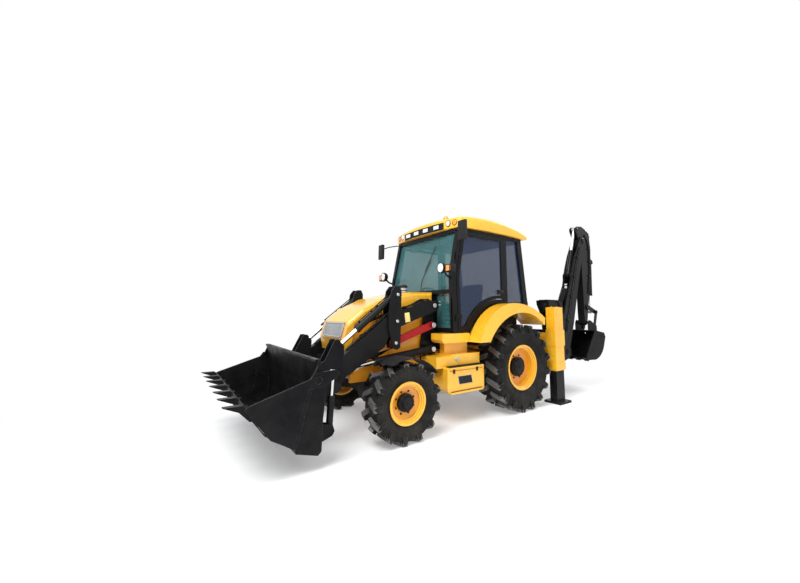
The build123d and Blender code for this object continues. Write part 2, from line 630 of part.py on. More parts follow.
# Rear mudguards: a curved top beside the cab, a deep outer skirt and a liner over the tyre
guard_out = rear_track / 2 + rear_tyre_width / 2 - 2.5
guard_in = cab_half + 6
sheet = 14
with BuildPart() as rear_fenders:
    with BuildSketch(side(guard_out)) as skirt:
        with BuildLine():
            ThreePointArc((964, 1090), (745, 1445), (272, 1655))
            ThreePointArc((272, 1655), (-170, 1606), (-560, 1420))
            Line((-560, 1420), (-550, 1304))
            ThreePointArc((-550, 1304), (0, 1512), (760, 1090))
            Line((760, 1090), (964, 1090))
        make_face()
    extrude(skirt.sketch, amount=sheet)
    with BuildSketch(side(guard_out)) as top:
        with BuildLine():
            ThreePointArc((964, 1090), (745, 1445), (272, 1655))
            ThreePointArc((272, 1655), (-170, 1606), (-560, 1420))
            Line((-560, 1420), (-555, 1400))
            ThreePointArc((-555, 1400), (-168, 1590), (270, 1640))
            ThreePointArc((270, 1640), (733, 1433), (949, 1090))
            Line((949, 1090), (964, 1090))
        make_face()
    extrude(top.sketch, amount=guard_out - guard_in)
    with BuildSketch(side(guard_out)) as liner:
        with BuildLine():
            ThreePointArc((-550, 1304), (0, 1512), (760, 1090))
            Line((760, 1090), (775, 1090))
            ThreePointArc((775, 1090), (0, 1526), (-555, 1318))
            Line((-555, 1318), (-550, 1304))
        make_face()
    extrude(liner.sketch, amount=guard_out - tub_half)
    mirror(about=Plane.XZ)
rear_fenders.part.label = "rear_fenders"
export_step(rear_fenders.part, "parts/rear_fenders.step")

# Side tanks and steps between the wheels, hung from the frame
box_in = 450
box_front = wheelbase - front_tyre_radius - 253
with BuildPart() as side_boxes:
    plate(700, 500, [(760, 430), (box_front - 40, 430), (box_front, 480), (box_front, 770),
                     (760, 770)], corner=18)
    block(760, 1300, box_in, 860, 760, 930)
    block(1300, 1560, tower_in + tower_wall + 8, 860, 760, 912)
    plate((tub_half + cab_half) / 2 + 1, cab_half - tub_half,
          [(800, 1090), (1430, 1090), (1455, 1130), (1455, 1218), (960, 1218), (930, 1180), (800, 1110)])
    block(860, 1300, tub_half + 10, 700, 920, 1092)
    block(790, box_front - 30, 940, 975, 752, 772)
    block(800, box_front - 50, 940, 975, 425, 450)
    mirror(about=Plane.XZ)
side_boxes.part.label = "side_boxes"
export_step(side_boxes.part, "parts/side_boxes.step")

# Rear frame: two rails for the sliding carriage, uprights and the stabilisers' outer legs
leg_wall = 14
leg_slack = 0.4
with BuildPart() as rear_frame:
    for low, high in ((rail_beam_low, rail_beam_low + 90), (rail_beam_high - 90, rail_beam_high)):
        block(rear_face, rear_face + 60, -leg_y + leg_width / 2, leg_y - leg_width / 2, low, high)
    for hand in both_sides:
        inner, outer = leg_width / 2 - leg_wall, leg_width / 2
        block(leg_x - leg_depth / 2, leg_x + leg_depth / 2, hand * leg_y - outer, hand * leg_y + outer,
              leg_low, leg_high)
        block(leg_x - leg_depth / 2 - 12, leg_x + leg_depth / 2 + 12, hand * leg_y - outer - 12,
              hand * leg_y + outer + 12, 940, 1210)
        block(leg_x - leg_depth / 2 + leg_wall, leg_x + leg_depth / 2 - leg_wall, hand * leg_y - inner,
              hand * leg_y + inner, leg_low, leg_high - leg_wall, mode=Mode.SUBTRACT)
        edges = sorted((hand * 300, hand * 380))
        block(rear_face + 60, rear_face + 250, edges[0], edges[1], rail_beam_low, rail_beam_high)
        edges = sorted((hand * 380, hand * (leg_y - leg_width / 2)))
        block(rear_face + 60, rear_face + 90, edges[0], edges[1], rail_beam_low, rail_beam_high - 60)
rear_frame.part.label = "rear_frame"
export_step(rear_frame.part, "parts/rear_frame.step")

# Stabilisers' inner legs with their pads
for name, hand in (("left", 1), ("right", -1)):
    half_x = leg_depth / 2 - leg_wall - leg_slack
    half_y = leg_width / 2 - leg_wall - leg_slack
    with BuildPart() as leg:
        block(leg_x - half_x, leg_x + half_x, hand * leg_y - half_y, hand * leg_y + half_y, 34, 1120)
        block(leg_x - pad_half, leg_x + pad_half, hand * leg_y - pad_half, hand * leg_y + pad_half, 0, 34)
    leg.part.label = "stabiliser_" + name
    export_step(leg.part, "parts/stabiliser_" + name + ".step")

# Carriage on the rear rails, with two lugs for the kingpost
lug_radius = 85
king_bore = 36
carriage_half = 270
with BuildPart() as carriage:
    block(rear_face - 70, rear_face - 6, digger_y - carriage_half, digger_y + carriage_half,
          rail_beam_low - 50, rail_beam_high + 50)
    block(rear_face - 70, rear_face + 58, digger_y - carriage_half, digger_y + carriage_half,
          rail_beam_high + seat_gap, rail_beam_high + 50)
    block(rear_face - 70, rear_face + 58, digger_y - carriage_half, digger_y + carriage_half,
          rail_beam_low - 50, rail_beam_low - 6)
    for z in (590, 1090):
        block(king_x, rear_face - 60, digger_y - lug_radius, digger_y + lug_radius, z - 30, z + 30)
        with Locations((king_x, digger_y, z)):
            Cylinder(lug_radius, 60)
            Cylinder(king_bore, 60, mode=Mode.SUBTRACT)
carriage.part.label = "carriage"
export_step(carriage.part, "parts/carriage.step")

# Kingpost: a barrel between the lugs, two side plates to the boom's foot and a head above
post_y = boom_half + 6 + 15
with BuildPart() as kingpost:
    with Locations((king_x, digger_y, 840)):
        Cylinder(78, 428)
        Cylinder(king_bore - run_gap, 560)
    block(king_x - 150, king_x, digger_y - post_y, digger_y + post_y, 640, 1040)
    for shift in (-post_y, post_y):
        plate(digger_y + shift, 30,
              [(-1330, 640), (-1560, 600), (-1700, 640), (-1790, 720), (-1790, 800), (-1720, 880), (-1600, 1150),
               (-1560, 1700), (-1400, 1740), (-1100, 1740), (-1110, 1660), (-1230, 1450), (-1260, 1140),
               (-1540, 1140), (-1540, 1040), (-1330, 1040)])
    block(-1400, -1104, digger_y - post_y, digger_y + post_y, 1700, 1738)
    for spot in (boom_foot, boom_ram_base):
        pin(spot, digger_y - post_y, digger_y + post_y, pin_radius)
kingpost.part.label = "kingpost"
export_step(kingpost.part, "parts/kingpost.step")

# Boom: a deep box that forks at its head, with a slot for the boom ram's eye
ram_slot = 62
with BuildPart() as boom:
    outline = [(-1620, 690), (-1590, 760), (-1620, 1400), (-1790, 1800), (-1940, 2060), (-2050, 2420), (-2170, 2700),
               (-2420, 3130), (-2500, 3160), (-2580, 3120), (-2600, 3040), (-2480, 2780), (-2330, 2380),
               (-2240, 2100), (-1990, 1300), (-1780, 740), (-1740, 680)]
    plate(digger_y, 2 * boom_half, outline, corner=20)
    inner = dipper_half + 6
    with BuildSketch(side(digger_y + inner)) as head:
        with Locations(dipper_pivot):
            Circle(420)
    extrude(head.sketch, amount=2 * inner, mode=Mode.SUBTRACT)
    for outline in ([(-1500, 900), (-1571, 970), (-1787, 1470), (-2060, 1960), (-2090, 2120), (-1870, 2250),
                     (-1500, 1500)],
                    [(-1900, 2150), (-2040, 2196), (-2096, 2225), (-2470, 2735), (-2300, 2900), (-1990, 2900)]):
        extrude(flat_face(digger_y + ram_slot, outline), amount=2 * ram_slot, mode=Mode.SUBTRACT)
    for shift in (-80, 80):
        plate(digger_y + shift, 32, [(-1970, 2130), (-1968, 2270), (-2000, 2318), (-2050, 2330), (-2080, 2450),
                                     (-2130, 2250)])
    pin(dipper_ram_base, digger_y - 90, digger_y + 90, pin_radius)
    pin(boom_foot, digger_y - boom_half, digger_y + boom_half, pin_radius + run_gap, mode=Mode.SUBTRACT)
    pin(dipper_pivot, digger_y - boom_half, digger_y + boom_half, pin_radius)
boom.part.label = "boom"
export_step(boom.part, "parts/boom.step")

# The levers turn beside the dipper, the links outside the levers and the bucket's ears outside the links
rocker_y = dipper_half + 16
tipping_y = rocker_y + 25
ear_y = tipping_y + 23

# Dipper: a box arm with its tail above the pivot and brackets for the bucket's linkage
with BuildPart() as dipper:
    plate(digger_y, 2 * dipper_half,
          [(-2380, 3060), (-2400, 2930), (-2440, 2700), (-2445, 1500), (-2455, 1290), (-2500, 1245), (-2545, 1290),
           (-2600, 1560), (-2660, 1760), (-2800, 2500), (-2840, 2900), (-2800, 3250), (-2640, 3330), (-2500, 3320), (-2485, 3115)])
    for shift in (12 - dipper_half, dipper_half - 12):
        plate(digger_y + shift, 24, [(-2640, 3330), (-2500, 3372), (-2330, 3350), (-2278, 3310), (-2278, 3260),
                                     (-2385, 3060), (-2500, 3100)])
    for shift in (-54, 54):
        plate(digger_y + shift, 20, [(-2790, 2500), (-2860, 2560), (-2935, 2590), (-2925, 2650), (-2820, 2700)])
    pin(bucket_ram_base, digger_y - 60, digger_y + 60, 22)
    pin(dipper_pivot, digger_y - boom_half, digger_y + boom_half, pin_radius + run_gap, mode=Mode.SUBTRACT)
    pin(digger_pin, digger_y - 110, digger_y + 110, pin_radius + run_gap, mode=Mode.SUBTRACT)
    pin(lever_pivot, digger_y - rocker_y - 10, digger_y + rocker_y + 10, 24)
dipper.part.label = "dipper"
export_step(dipper.part, "parts/dipper.step")

# Tipping levers beside the dipper, joined by the pin that the bucket ram pushes
with BuildPart() as tipping_lever:
    for shift in (-rocker_y, rocker_y):
        link(digger_y + shift, 20, lever_pivot, 50, lever_end, 42)
    for shift in (-rocker_y, rocker_y):
        pin(lever_pivot, digger_y + shift - 10, digger_y + shift + 10, 24 + run_gap, mode=Mode.SUBTRACT)
    for hand in both_sides:
        edges = sorted((hand * 35, hand * (tipping_y + 10)))
        pin(lever_end, digger_y + edges[0], digger_y + edges[1], 22)
tipping_lever.part.label = "tipping_lever"
export_step(tipping_lever.part, "parts/tipping_lever.step")

# Tipping links from the lever's pin to the bucket
with BuildPart() as tipping_link:
    for shift in (-tipping_y, tipping_y):
        link(digger_y + shift, 20, lever_end, 40, link_pin, 34)
    for shift in (-tipping_y, tipping_y):
        pin(lever_end, digger_y + shift - 10, digger_y + shift + 10, 22 + run_gap, mode=Mode.SUBTRACT)
tipping_link.part.label = "tipping_link"
export_step(tipping_link.part, "parts/tipping_link.step")

# Digging bucket with its ears, curved back, side plates and teeth
digger_teeth = 4
with BuildPart() as digger_bucket:
    for shift in (-digger_bucket_half + 9, digger_bucket_half - 9):
        plate(digger_y + shift, 18, [(-2440, 1150), (-2060, 660), (-2100, 590), (-2300, 575), (-2560, 640),
                                     (-2740, 800), (-2830, 1000), (-2790, 1090)])
    with BuildSketch(side(digger_y + digger_bucket_half)) as back:
        with BuildLine():
            Line((-2440, 1150), (-2790, 1090))
            ThreePointArc((-2790, 1090), (-2700, 740), (-2300, 575))
            Polyline((-2300, 575), (-2090, 585), (-2092, 603), (-2298, 595))
            ThreePointArc((-2298, 595), (-2680, 755), (-2768, 1074))
            Polyline((-2768, 1074), (-2440, 1130), (-2440, 1150))
        make_face()
    extrude(back.sketch, amount=2 * digger_bucket_half)
    for shift in (-tipping_y, tipping_y):
        block(-2850, -2735, digger_y + shift - 15, digger_y + shift + 15, 1055, 1140, mode=Mode.SUBTRACT)
    for shift in (-ear_y, ear_y):
        plate(digger_y + shift, 16, [(-2440, 1145), (-2440, 1290), (-2480, 1350), (-2540, 1345), (-2780, 1230),
                                     (-2780, 1088)])
    pin(digger_pin, digger_y - ear_y - 8, digger_y + ear_y + 8, pin_radius)
    for number in range(digger_teeth):
        y = digger_y + (number - (digger_teeth - 1) / 2) * (2 * digger_bucket_half - 70) / (digger_teeth - 1)
        plate(y, 55, [(-2140, 560), (-2140, 620), (-2080, 628), (-1985, 640), (-2070, 570)])
digger_bucket.part.label = "digger_bucket"
export_step(digger_bucket.part, "parts/digger_bucket.step")

# Seat on its pedestal
with BuildPart() as seat:
    block(230, 560, -150, 150, cab_floor, 1390)
    plate(0, 500, [(180, 1390), (640, 1390), (660, 1440), (640, 1500), (230, 1490), (120, 2050), (60, 2080),
                   (40, 2040), (130, 1440)])
seat.part.label = "seat"
export_step(seat.part, "parts/seat.step")

# Steering column with its wheel and dash
with BuildPart() as steering:
    plate(0, 360, [(1150, cab_floor), (1224, cab_floor), (1224, 1789), (1150, 1789), (1060, 1700), (1060, 1600)])
    column = Plane(origin=(1060, 0, 1650), z_dir=(-0.5, 0, 0.86))
    with BuildSketch(column) as shaft:
        Circle(30)
    extrude(shaft.sketch, amount=180)
    with BuildSketch(column.offset(176)) as wheel:
        Circle(210)
        Circle(182, mode=Mode.SUBTRACT)
        Rectangle(380, 36)
        Circle(45)
    extrude(wheel.sketch, amount=24)
steering.part.label = "steering"
export_step(steering.part, "parts/steering.step")

# Lamps: a strip of four in the roof, head lamps with side indicators on stalks, and the beacon
beacon_spot = (900, 250)
with BuildPart() as lamps:
    block(1150 + seat_gap, 1196, -strip_half, strip_half, strip_low, strip_high)
    for y in (-450, -260, 260, 450):
        block(1190, 1206, y - 75, y + 75, strip_low + 10, strip_high - 10)
    for hand in both_sides:
        with Locations((1436, hand * (cab_half - 50), 2145)):
            Cylinder(85, 90, rotation=(0, 90, 0))
        with Locations((1432, hand * (cab_half + 78), 2140)):
            Box(70, 100, 100)
        plate(hand * (cab_half - 38), 24, [(pillar_front(2080), 2080), (1412, 2080), (1412, 2140), (1392, 2140), (1392, 2104),
                               (pillar_front(2104), 2104)])
    with Locations((beacon_spot[0], beacon_spot[1], cab_roof_high + 10)):
        Cylinder(70, 20)
    with Locations((beacon_spot[0], beacon_spot[1], cab_roof_high + 65)):
        Cylinder(55, 90)
    fillet(lamps.faces().sort_by(Axis.Z)[-1].edges(), 25)
lamps.part.label = "lamps"
export_step(lamps.part, "parts/lamps.step")

# Mirrors on bent arms from the cab's front corners
mirror_y = cab_half + 320
with BuildPart() as mirrors:
    for hand in both_sides:
        edges = sorted((hand * (cab_half - 70), hand * mirror_y))
        block(1262, 1290, edges[0], edges[1], 2700, 2724)
        block(1286, 1310, hand * mirror_y - 22, hand * mirror_y + 2, 2560, 2724)
        block(1310, 1350, hand * mirror_y - 80, hand * mirror_y + 80, 2490, 2730)
        plate(hand * (cab_half - 58), 24, [(pillar_front(2700), 2700), (1290, 2700), (1290, 2724), (pillar_front(2724), 2724)])
mirrors.part.label = "mirrors"
export_step(mirrors.part, "parts/mirrors.step")
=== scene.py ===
# Looks of the backhoe loader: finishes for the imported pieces, and the fittings that they carry.
from math import atan2, cos, hypot, pi, radians, sin

import bmesh
import bpy
from mathutils import Matrix, Vector


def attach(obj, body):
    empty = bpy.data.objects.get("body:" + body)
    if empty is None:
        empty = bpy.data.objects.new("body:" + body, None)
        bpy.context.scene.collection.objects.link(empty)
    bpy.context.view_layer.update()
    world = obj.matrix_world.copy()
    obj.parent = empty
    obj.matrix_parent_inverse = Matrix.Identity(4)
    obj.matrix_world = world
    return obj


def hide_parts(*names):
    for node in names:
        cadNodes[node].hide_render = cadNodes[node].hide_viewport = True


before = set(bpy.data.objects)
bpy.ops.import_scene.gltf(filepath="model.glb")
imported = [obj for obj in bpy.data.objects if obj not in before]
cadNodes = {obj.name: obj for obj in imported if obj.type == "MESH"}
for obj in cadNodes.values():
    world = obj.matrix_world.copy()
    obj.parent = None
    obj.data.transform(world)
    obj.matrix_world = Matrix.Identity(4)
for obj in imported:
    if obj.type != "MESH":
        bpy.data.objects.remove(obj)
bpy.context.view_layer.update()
scene = bpy.context.scene
print("frame loaded:", len(cadNodes), "nodes")

# Camera, floor and light
cameraView = {
    "place": (4.472, 4.692, 1.523),
    "yaw": 4.042,          # turn of the view about Z, in radians
    "lift": 0.141,         # how far the view points up
    "focalPixels": 347.28,  # for an image 800 pixels wide
    "middle": (443.875, 262.541),  # the lens's middle in that image
}
studioLight = {
    "worldStrength": 0.52,
    "keyPower": 1050,
    "keyPlace": (6.5, 3.0, 8.5),
    "keySize": 6.0,
    "fillPower": 210,
    "fillPlace": (2.0, 9.0, 4.0),
    "fillSize": 5.0,
    "rimPower": 420,
    "rimPlace": (-7.0, 2.0, 7.0),
    "rimSize": 4.0,
    "target": (0.8, 0, 1.2),
}
floorFinish = {"size": 80.0, "colour": (0.93, 0.93, 0.93, 1), "middle": (0.6, 0.2, 0), "fadeFrom": 3.0,
    "fadeTo": 6.5, "glow": 0.25}

imageWidth, imageHeight = 800, 583


def makeCamera():
    data = bpy.data.cameras.new("camera")
    data.sensor_width = 36
    data.lens = 36 * cameraView["focalPixels"] / imageWidth
    data.shift_x = (imageWidth / 2 - cameraView["middle"][0]) / imageWidth
    data.shift_y = (cameraView["middle"][1] - imageHeight / 2) / imageWidth
    data.clip_end = 200
    camera = bpy.data.objects.new("camera", data)
    scene.collection.objects.link(camera)
    yaw, lift = cameraView["yaw"], cameraView["lift"]
    forward = Vector((cos(yaw) * cos(lift), sin(yaw) * cos(lift), sin(lift)))
    camera.rotation_mode = "QUATERNION"
    camera.rotation_quaternion = forward.to_track_quat("-Z", "Y")
    camera.location = cameraView["place"]
    scene.camera = camera


def areaLight(name, place, power, size):
    data = bpy.data.lights.new(name, "AREA")
    data.energy = power
    data.shape = "DISK"
    data.size = size
    light = bpy.data.objects.new(name, data)
    light.location = place
    light.rotation_mode = "QUATERNION"
    light.rotation_quaternion = (Vector(studioLight["target"]) - Vector(place)).to_track_quat("-Z", "Y")
    scene.collection.objects.link(light)


def seenRay(tree):
    # 1 for what the camera sees, also by reflection or through glass
    path = tree.nodes.new("ShaderNodeLightPath")
    first = mathNode(tree, "MAXIMUM", path.outputs["Is Camera Ray"], path.outputs["Is Glossy Ray"])
    return mathNode(tree, "MAXIMUM", first, path.outputs["Is Transmission Ray"])


def makeLights():
    world = bpy.data.worlds.new("studio")
    scene.world = world
    world.use_nodes = True
    tree = world.node_tree
    tree.nodes.clear()
    output = tree.nodes.new("ShaderNodeOutputWorld")
    seen = tree.nodes.new("ShaderNodeBackground")
    seen.inputs["Color"].default_value = (1, 1, 1, 1)
    seen.inputs["Strength"].default_value = 1
    lighting = tree.nodes.new("ShaderNodeBackground")
    lighting.inputs["Color"].default_value = (0.93, 0.96, 1, 1)
    lighting.inputs["Strength"].default_value = studioLight["worldStrength"]
    mix = tree.nodes.new("ShaderNodeMixShader")
    tree.links.new(seenRay(tree), mix.inputs[0])
    tree.links.new(lighting.outputs[0], mix.inputs[1])
    tree.links.new(seen.outputs[0], mix.inputs[2])
    tree.links.new(mix.outputs[0], output.inputs["Surface"])
    for role in ("key", "fill", "rim"):
        areaLight(role + "Light", *(studioLight[role + label] for label in ("Place", "Power", "Size")))
    scene.view_settings.view_transform = "Standard"


# Shader groups that several finishes share
def newGroup(name, inputs, outputs):
    group = bpy.data.node_groups.new(name, "ShaderNodeTree")
    for label, kind, value in inputs:
        socket = group.interface.new_socket(label, in_out="INPUT", socket_type=kind)
        socket.default_value = value
    for label, kind in outputs:
        group.interface.new_socket(label, in_out="OUTPUT", socket_type=kind)
    entry = group.nodes.new("NodeGroupInput")
    leave = group.nodes.new("NodeGroupOutput")
    return group, entry, leave


def feed(tree, socket, value):
    if hasattr(value, "links"):
        tree.links.new(value, socket)
    else:
        socket.default_value = value


def mathNode(tree, operation, first, second, clamp=False):
    node = tree.nodes.new("ShaderNodeMath")
    node.operation = operation
    node.use_clamp = clamp
    for index, value in enumerate((first, second)):
        feed(tree, node.inputs[index], value)
    return node.outputs[0]


def mixColour(tree, factor, first, second):
    node = tree.nodes.new("ShaderNodeMix")
    node.data_type = "RGBA"
    for socket, value in ((node.inputs[0], factor), (node.inputs[6], first), (node.inputs[7], second)):
        feed(tree, socket, value)
    return node.outputs[2]


def noiseNode(tree, scale, detail, roughness, vector):
    node = tree.nodes.new("ShaderNodeTexNoise")
    node.inputs["Detail"].default_value = detail
    node.inputs["Roughness"].default_value = roughness
    feed(tree, node.inputs["Scale"], scale)
    tree.links.new(vector, node.inputs["Vector"])
    return node


def rangeNode(tree, value, low, high, toLow=0.0, toHigh=1.0):
    node = tree.nodes.new("ShaderNodeMapRange")
    tree.links.new(value, node.inputs["Value"])
    for label, entry in (("From Min", low), ("From Max", high), ("To Min", toLow), ("To Max", toHigh)):
        feed(tree, node.inputs[label], entry)
    return node.outputs["Result"]


# Mask of the bent edges, broken by speckles: it places both edge wear and a painted highlight along edges
def makeEdgeGroup():
    group, entry, leave = newGroup(
        "edgeWearAndHighlight",
        (("Radius", "NodeSocketFloat", 0.006), ("Spread", "NodeSocketFloat", 0.25)),
        (("Mask", "NodeSocketFloat"),))
    bevel = group.nodes.new("ShaderNodeBevel")
    bevel.samples = 4
    group.links.new(entry.outputs["Radius"], bevel.inputs["Radius"])
    plain = group.nodes.new("ShaderNodeNewGeometry")
    dot = group.nodes.new("ShaderNodeVectorMath")
    dot.operation = "DOT_PRODUCT"
    group.links.new(bevel.outputs["Normal"], dot.inputs[0])
    group.links.new(plain.outputs["Normal"], dot.inputs[1])
    bend = mathNode(group, "SUBTRACT", 1.0, dot.outputs["Value"])
    mask = rangeNode(group, bend, 0.02, entry.outputs["Spread"])
    place = group.nodes.new("ShaderNodeTexCoord")
    speckle = noiseNode(group, 38, 6, 0.7, place.outputs["Object"])
    broken = rangeNode(group, speckle.outputs["Fac"], 0.42, 0.62)
    group.links.new(mathNode(group, "MULTIPLY", mask, broken, True), leave.inputs["Mask"])
    return group


def makeDustGroup():
    group, entry, leave = newGroup(
        "dust",
        (("Scale", "NodeSocketFloat", 3.0), ("Low", "NodeSocketFloat", 0.0), ("High", "NodeSocketFloat", 1.2),
         ("Amount", "NodeSocketFloat", 0.3)),
        (("Mask", "NodeSocketFloat"),))
    place = group.nodes.new("ShaderNodeTexCoord")
    split = group.nodes.new("ShaderNodeSeparateXYZ")
    group.links.new(place.outputs["Object"], split.inputs[0])
    height = rangeNode(group, split.outputs["Z"], entry.outputs["High"], entry.outputs["Low"])
    cloud = noiseNode(group, entry.outputs["Scale"], 8, 0.65, place.outputs["Object"])
    patch = rangeNode(group, cloud.outputs["Fac"], 0.38, 0.72)
    both = mathNode(group, "MULTIPLY", height, patch, True)
    group.links.new(mathNode(group, "MULTIPLY", both, entry.outputs["Amount"], True), leave.inputs["Mask"])
    return group


def makeDriftGroup():
    group, entry, leave = newGroup(
        "colourDrift",
        (("Colour", "NodeSocketColor", (1, 1, 1, 1)), ("Shade", "NodeSocketColor", (0.8, 0.8, 0.8, 1)),
         ("Scale", "NodeSocketFloat", 1.5)),
        (("Colour", "NodeSocketColor"),))
    place = group.nodes.new("ShaderNodeTexCoord")
    cloud = noiseNode(group, entry.outputs["Scale"], 3, 0.5, place.outputs["Object"])
    amount = rangeNode(group, cloud.outputs["Fac"], 0.35, 0.68)
    group.links.new(mixColour(group, amount, entry.outputs["Colour"], entry.outputs["Shade"]),
        leave.inputs["Colour"])
    return group


def makeGrainGroup():
    group, entry, leave = newGroup(
        "fineGrain",
        (("Scale", "NodeSocketFloat", 300.0), ("Wave", "NodeSocketFloat", 6.0)),
        (("Height", "NodeSocketFloat"), ("Gloss", "NodeSocketFloat")))
    place = group.nodes.new("ShaderNodeTexCoord")
    fine = noiseNode(group, entry.outputs["Scale"], 3, 0.55, place.outputs["Object"])
    slow = noiseNode(group, entry.outputs["Wave"], 4, 0.5, place.outputs["Object"])
    total = mathNode(group, "ADD", fine.outputs["Fac"], slow.outputs["Fac"])
    group.links.new(mathNode(group, "MULTIPLY", total, 0.5), leave.inputs["Height"])
    group.links.new(slow.outputs["Fac"], leave.inputs["Gloss"])
    return group


groups = {"edge": makeEdgeGroup(), "dust": makeDustGroup(), "drift": makeDriftGroup(),
    "grain": makeGrainGroup()}


def useGroup(tree, key, **values):
    node = tree.nodes.new("ShaderNodeGroup")
    node.node_tree = groups[key]
    for label, value in values.items():
        node.inputs[label].default_value = value
    return node


def newMaterial(name):
    material = bpy.data.materials.new(name)
    material.use_nodes = True
    tree = material.node_tree
    return material, tree, tree.nodes["Principled BSDF"]


# Each finish: colour and its darker drift, roughness from and to, bump depth in metres, grain size, colour of
# edges (part wear, part painted highlight), how much of that edge colour and of dust shows, and coat, metal or
# specular where it has them
finishes = {
    "yellowPaint": {"colour": (0.87, 0.455, 0.020), "shade": (0.82, 0.395, 0.013), "gloss": (0.22, 0.36),
                    "coat": 0.6,
                    "bump": 0.0004, "grain": 260, "edge": (1.0, 0.72, 0.16), "wearAndHighlight": 0.35, "dust": 0.12},
    # A darker copy of the yellow paint: painted shade for yellow parts that sit in shadow (main frame, engine
    # sides, rims' discs)
    "paintedShadeYellow": {"colour": (0.80, 0.33, 0.008), "shade": (0.70, 0.25, 0.005), "gloss": (0.26, 0.4),
                   "coat": 0.5,
                   "bump": 0.0004, "grain": 260, "edge": (0.95, 0.6, 0.12), "wearAndHighlight": 0.35, "dust": 0.12},
    "blackPaint": {"colour": (0.004, 0.004, 0.0045), "shade": (0.007, 0.007, 0.008), "gloss": (0.24, 0.42),
                   "coat": 0.05, "bump": 0.0006, "grain": 220, "edge": (0.10, 0.10, 0.105), "wearAndHighlight": 0.5,
                   "dust": 0.04, "specular": 0.12},
    "bucketPaint": {"colour": (0.004, 0.004, 0.0045), "shade": (0.007, 0.007, 0.009), "gloss": (0.30, 0.50),
                    "coat": 0.0, "bump": 0.0012, "grain": 120, "edge": (0.16, 0.16, 0.165), "wearAndHighlight": 0.7,
                    "dust": 0.05, "specular": 0.07},
    "redPaint": {"colour": (0.42, 0.012, 0.016), "shade": (0.28, 0.007, 0.010), "gloss": (0.25, 0.4),
                 "coat": 0.05,
                 "bump": 0.0004, "grain": 260, "edge": (0.7, 0.2, 0.12), "wearAndHighlight": 0.4, "dust": 0.1,
                 "specular": 0.15},
    "castIron": {"colour": (0.012, 0.012, 0.013), "shade": (0.02, 0.02, 0.02), "gloss": (0.5, 0.7),
                 "metal": 0.3,
                 "bump": 0.002, "grain": 160, "edge": (0.12, 0.11, 0.1), "wearAndHighlight": 0.4, "dust": 0.15,
                 "specular": 0.2},
    "tyreRubber": {"colour": (0.006, 0.006, 0.006), "shade": (0.011, 0.011, 0.011), "gloss": (0.55, 0.8),
                   "bump": 0.0015, "grain": 190, "edge": (0.09, 0.09, 0.09), "wearAndHighlight": 0.6, "dust": 0.10,
                   "specular": 0.10},
    # A lighter copy of the tyre rubber for the lugs' tops: painted highlight, with a pale edge colour that
    # adds more of it
    "treadHighlightRubber": {"colour": (0.050, 0.050, 0.050), "shade": (0.085, 0.085, 0.083), "gloss": (0.26, 0.42),
                    "bump": 0.0012, "grain": 150, "edge": (0.38, 0.38, 0.37), "wearAndHighlight": 0.6, "dust": 0.08,
                    "specular": 0.6},
    "mattePlastic": {"colour": (0.008, 0.008, 0.0085), "shade": (0.013, 0.013, 0.0135), "gloss": (0.42, 0.6),
                     "bump": 0.0008, "grain": 420, "edge": (0.05, 0.05, 0.05), "wearAndHighlight": 0.3, "dust": 0.08,
                     "specular": 0.18},
    "greyPaint": {"colour": (0.42, 0.43, 0.44), "shade": (0.3, 0.31, 0.32), "gloss": (0.28, 0.45),
                  "coat": 0.3,
                  "bump": 0.0005, "grain": 260, "edge": (0.7, 0.7, 0.7), "wearAndHighlight": 0.4, "dust": 0.15},
    "steel": {"colour": (0.55, 0.55, 0.56), "shade": (0.42, 0.42, 0.43), "gloss": (0.25, 0.45), "metal": 1.0,
              "bump": 0.0004, "grain": 420, "edge": (0.8, 0.8, 0.8), "wearAndHighlight": 0.3, "dust": 0.1},
    "chrome": {"colour": (0.78, 0.79, 0.8), "shade": (0.66, 0.67, 0.68), "gloss": (0.06, 0.14), "metal": 1.0,
               "bump": 0.0001, "grain": 600, "edge": (0.9, 0.9, 0.9), "wearAndHighlight": 0.2, "dust": 0.03},
    "labelPaper": {"colour": (0.80, 0.66, 0.22), "shade": (0.74, 0.58, 0.17), "gloss": (0.35, 0.5),
                   "bump": 0.0002, "grain": 500, "edge": (0.9, 0.85, 0.6), "wearAndHighlight": 0.2, "dust": 0.08},
    "seatCloth": {"colour": (0.02, 0.02, 0.023), "shade": (0.035, 0.035, 0.038), "gloss": (0.7, 0.9),
                  "bump": 0.003, "grain": 700, "edge": (0.1, 0.1, 0.1), "wearAndHighlight": 0.2, "dust": 0.05,
                  "specular": 0.2},
}
dustColour = (0.30, 0.27, 0.22, 1)
edgeRadius = 0.006
glassRoughness = (0.024, 0.04)


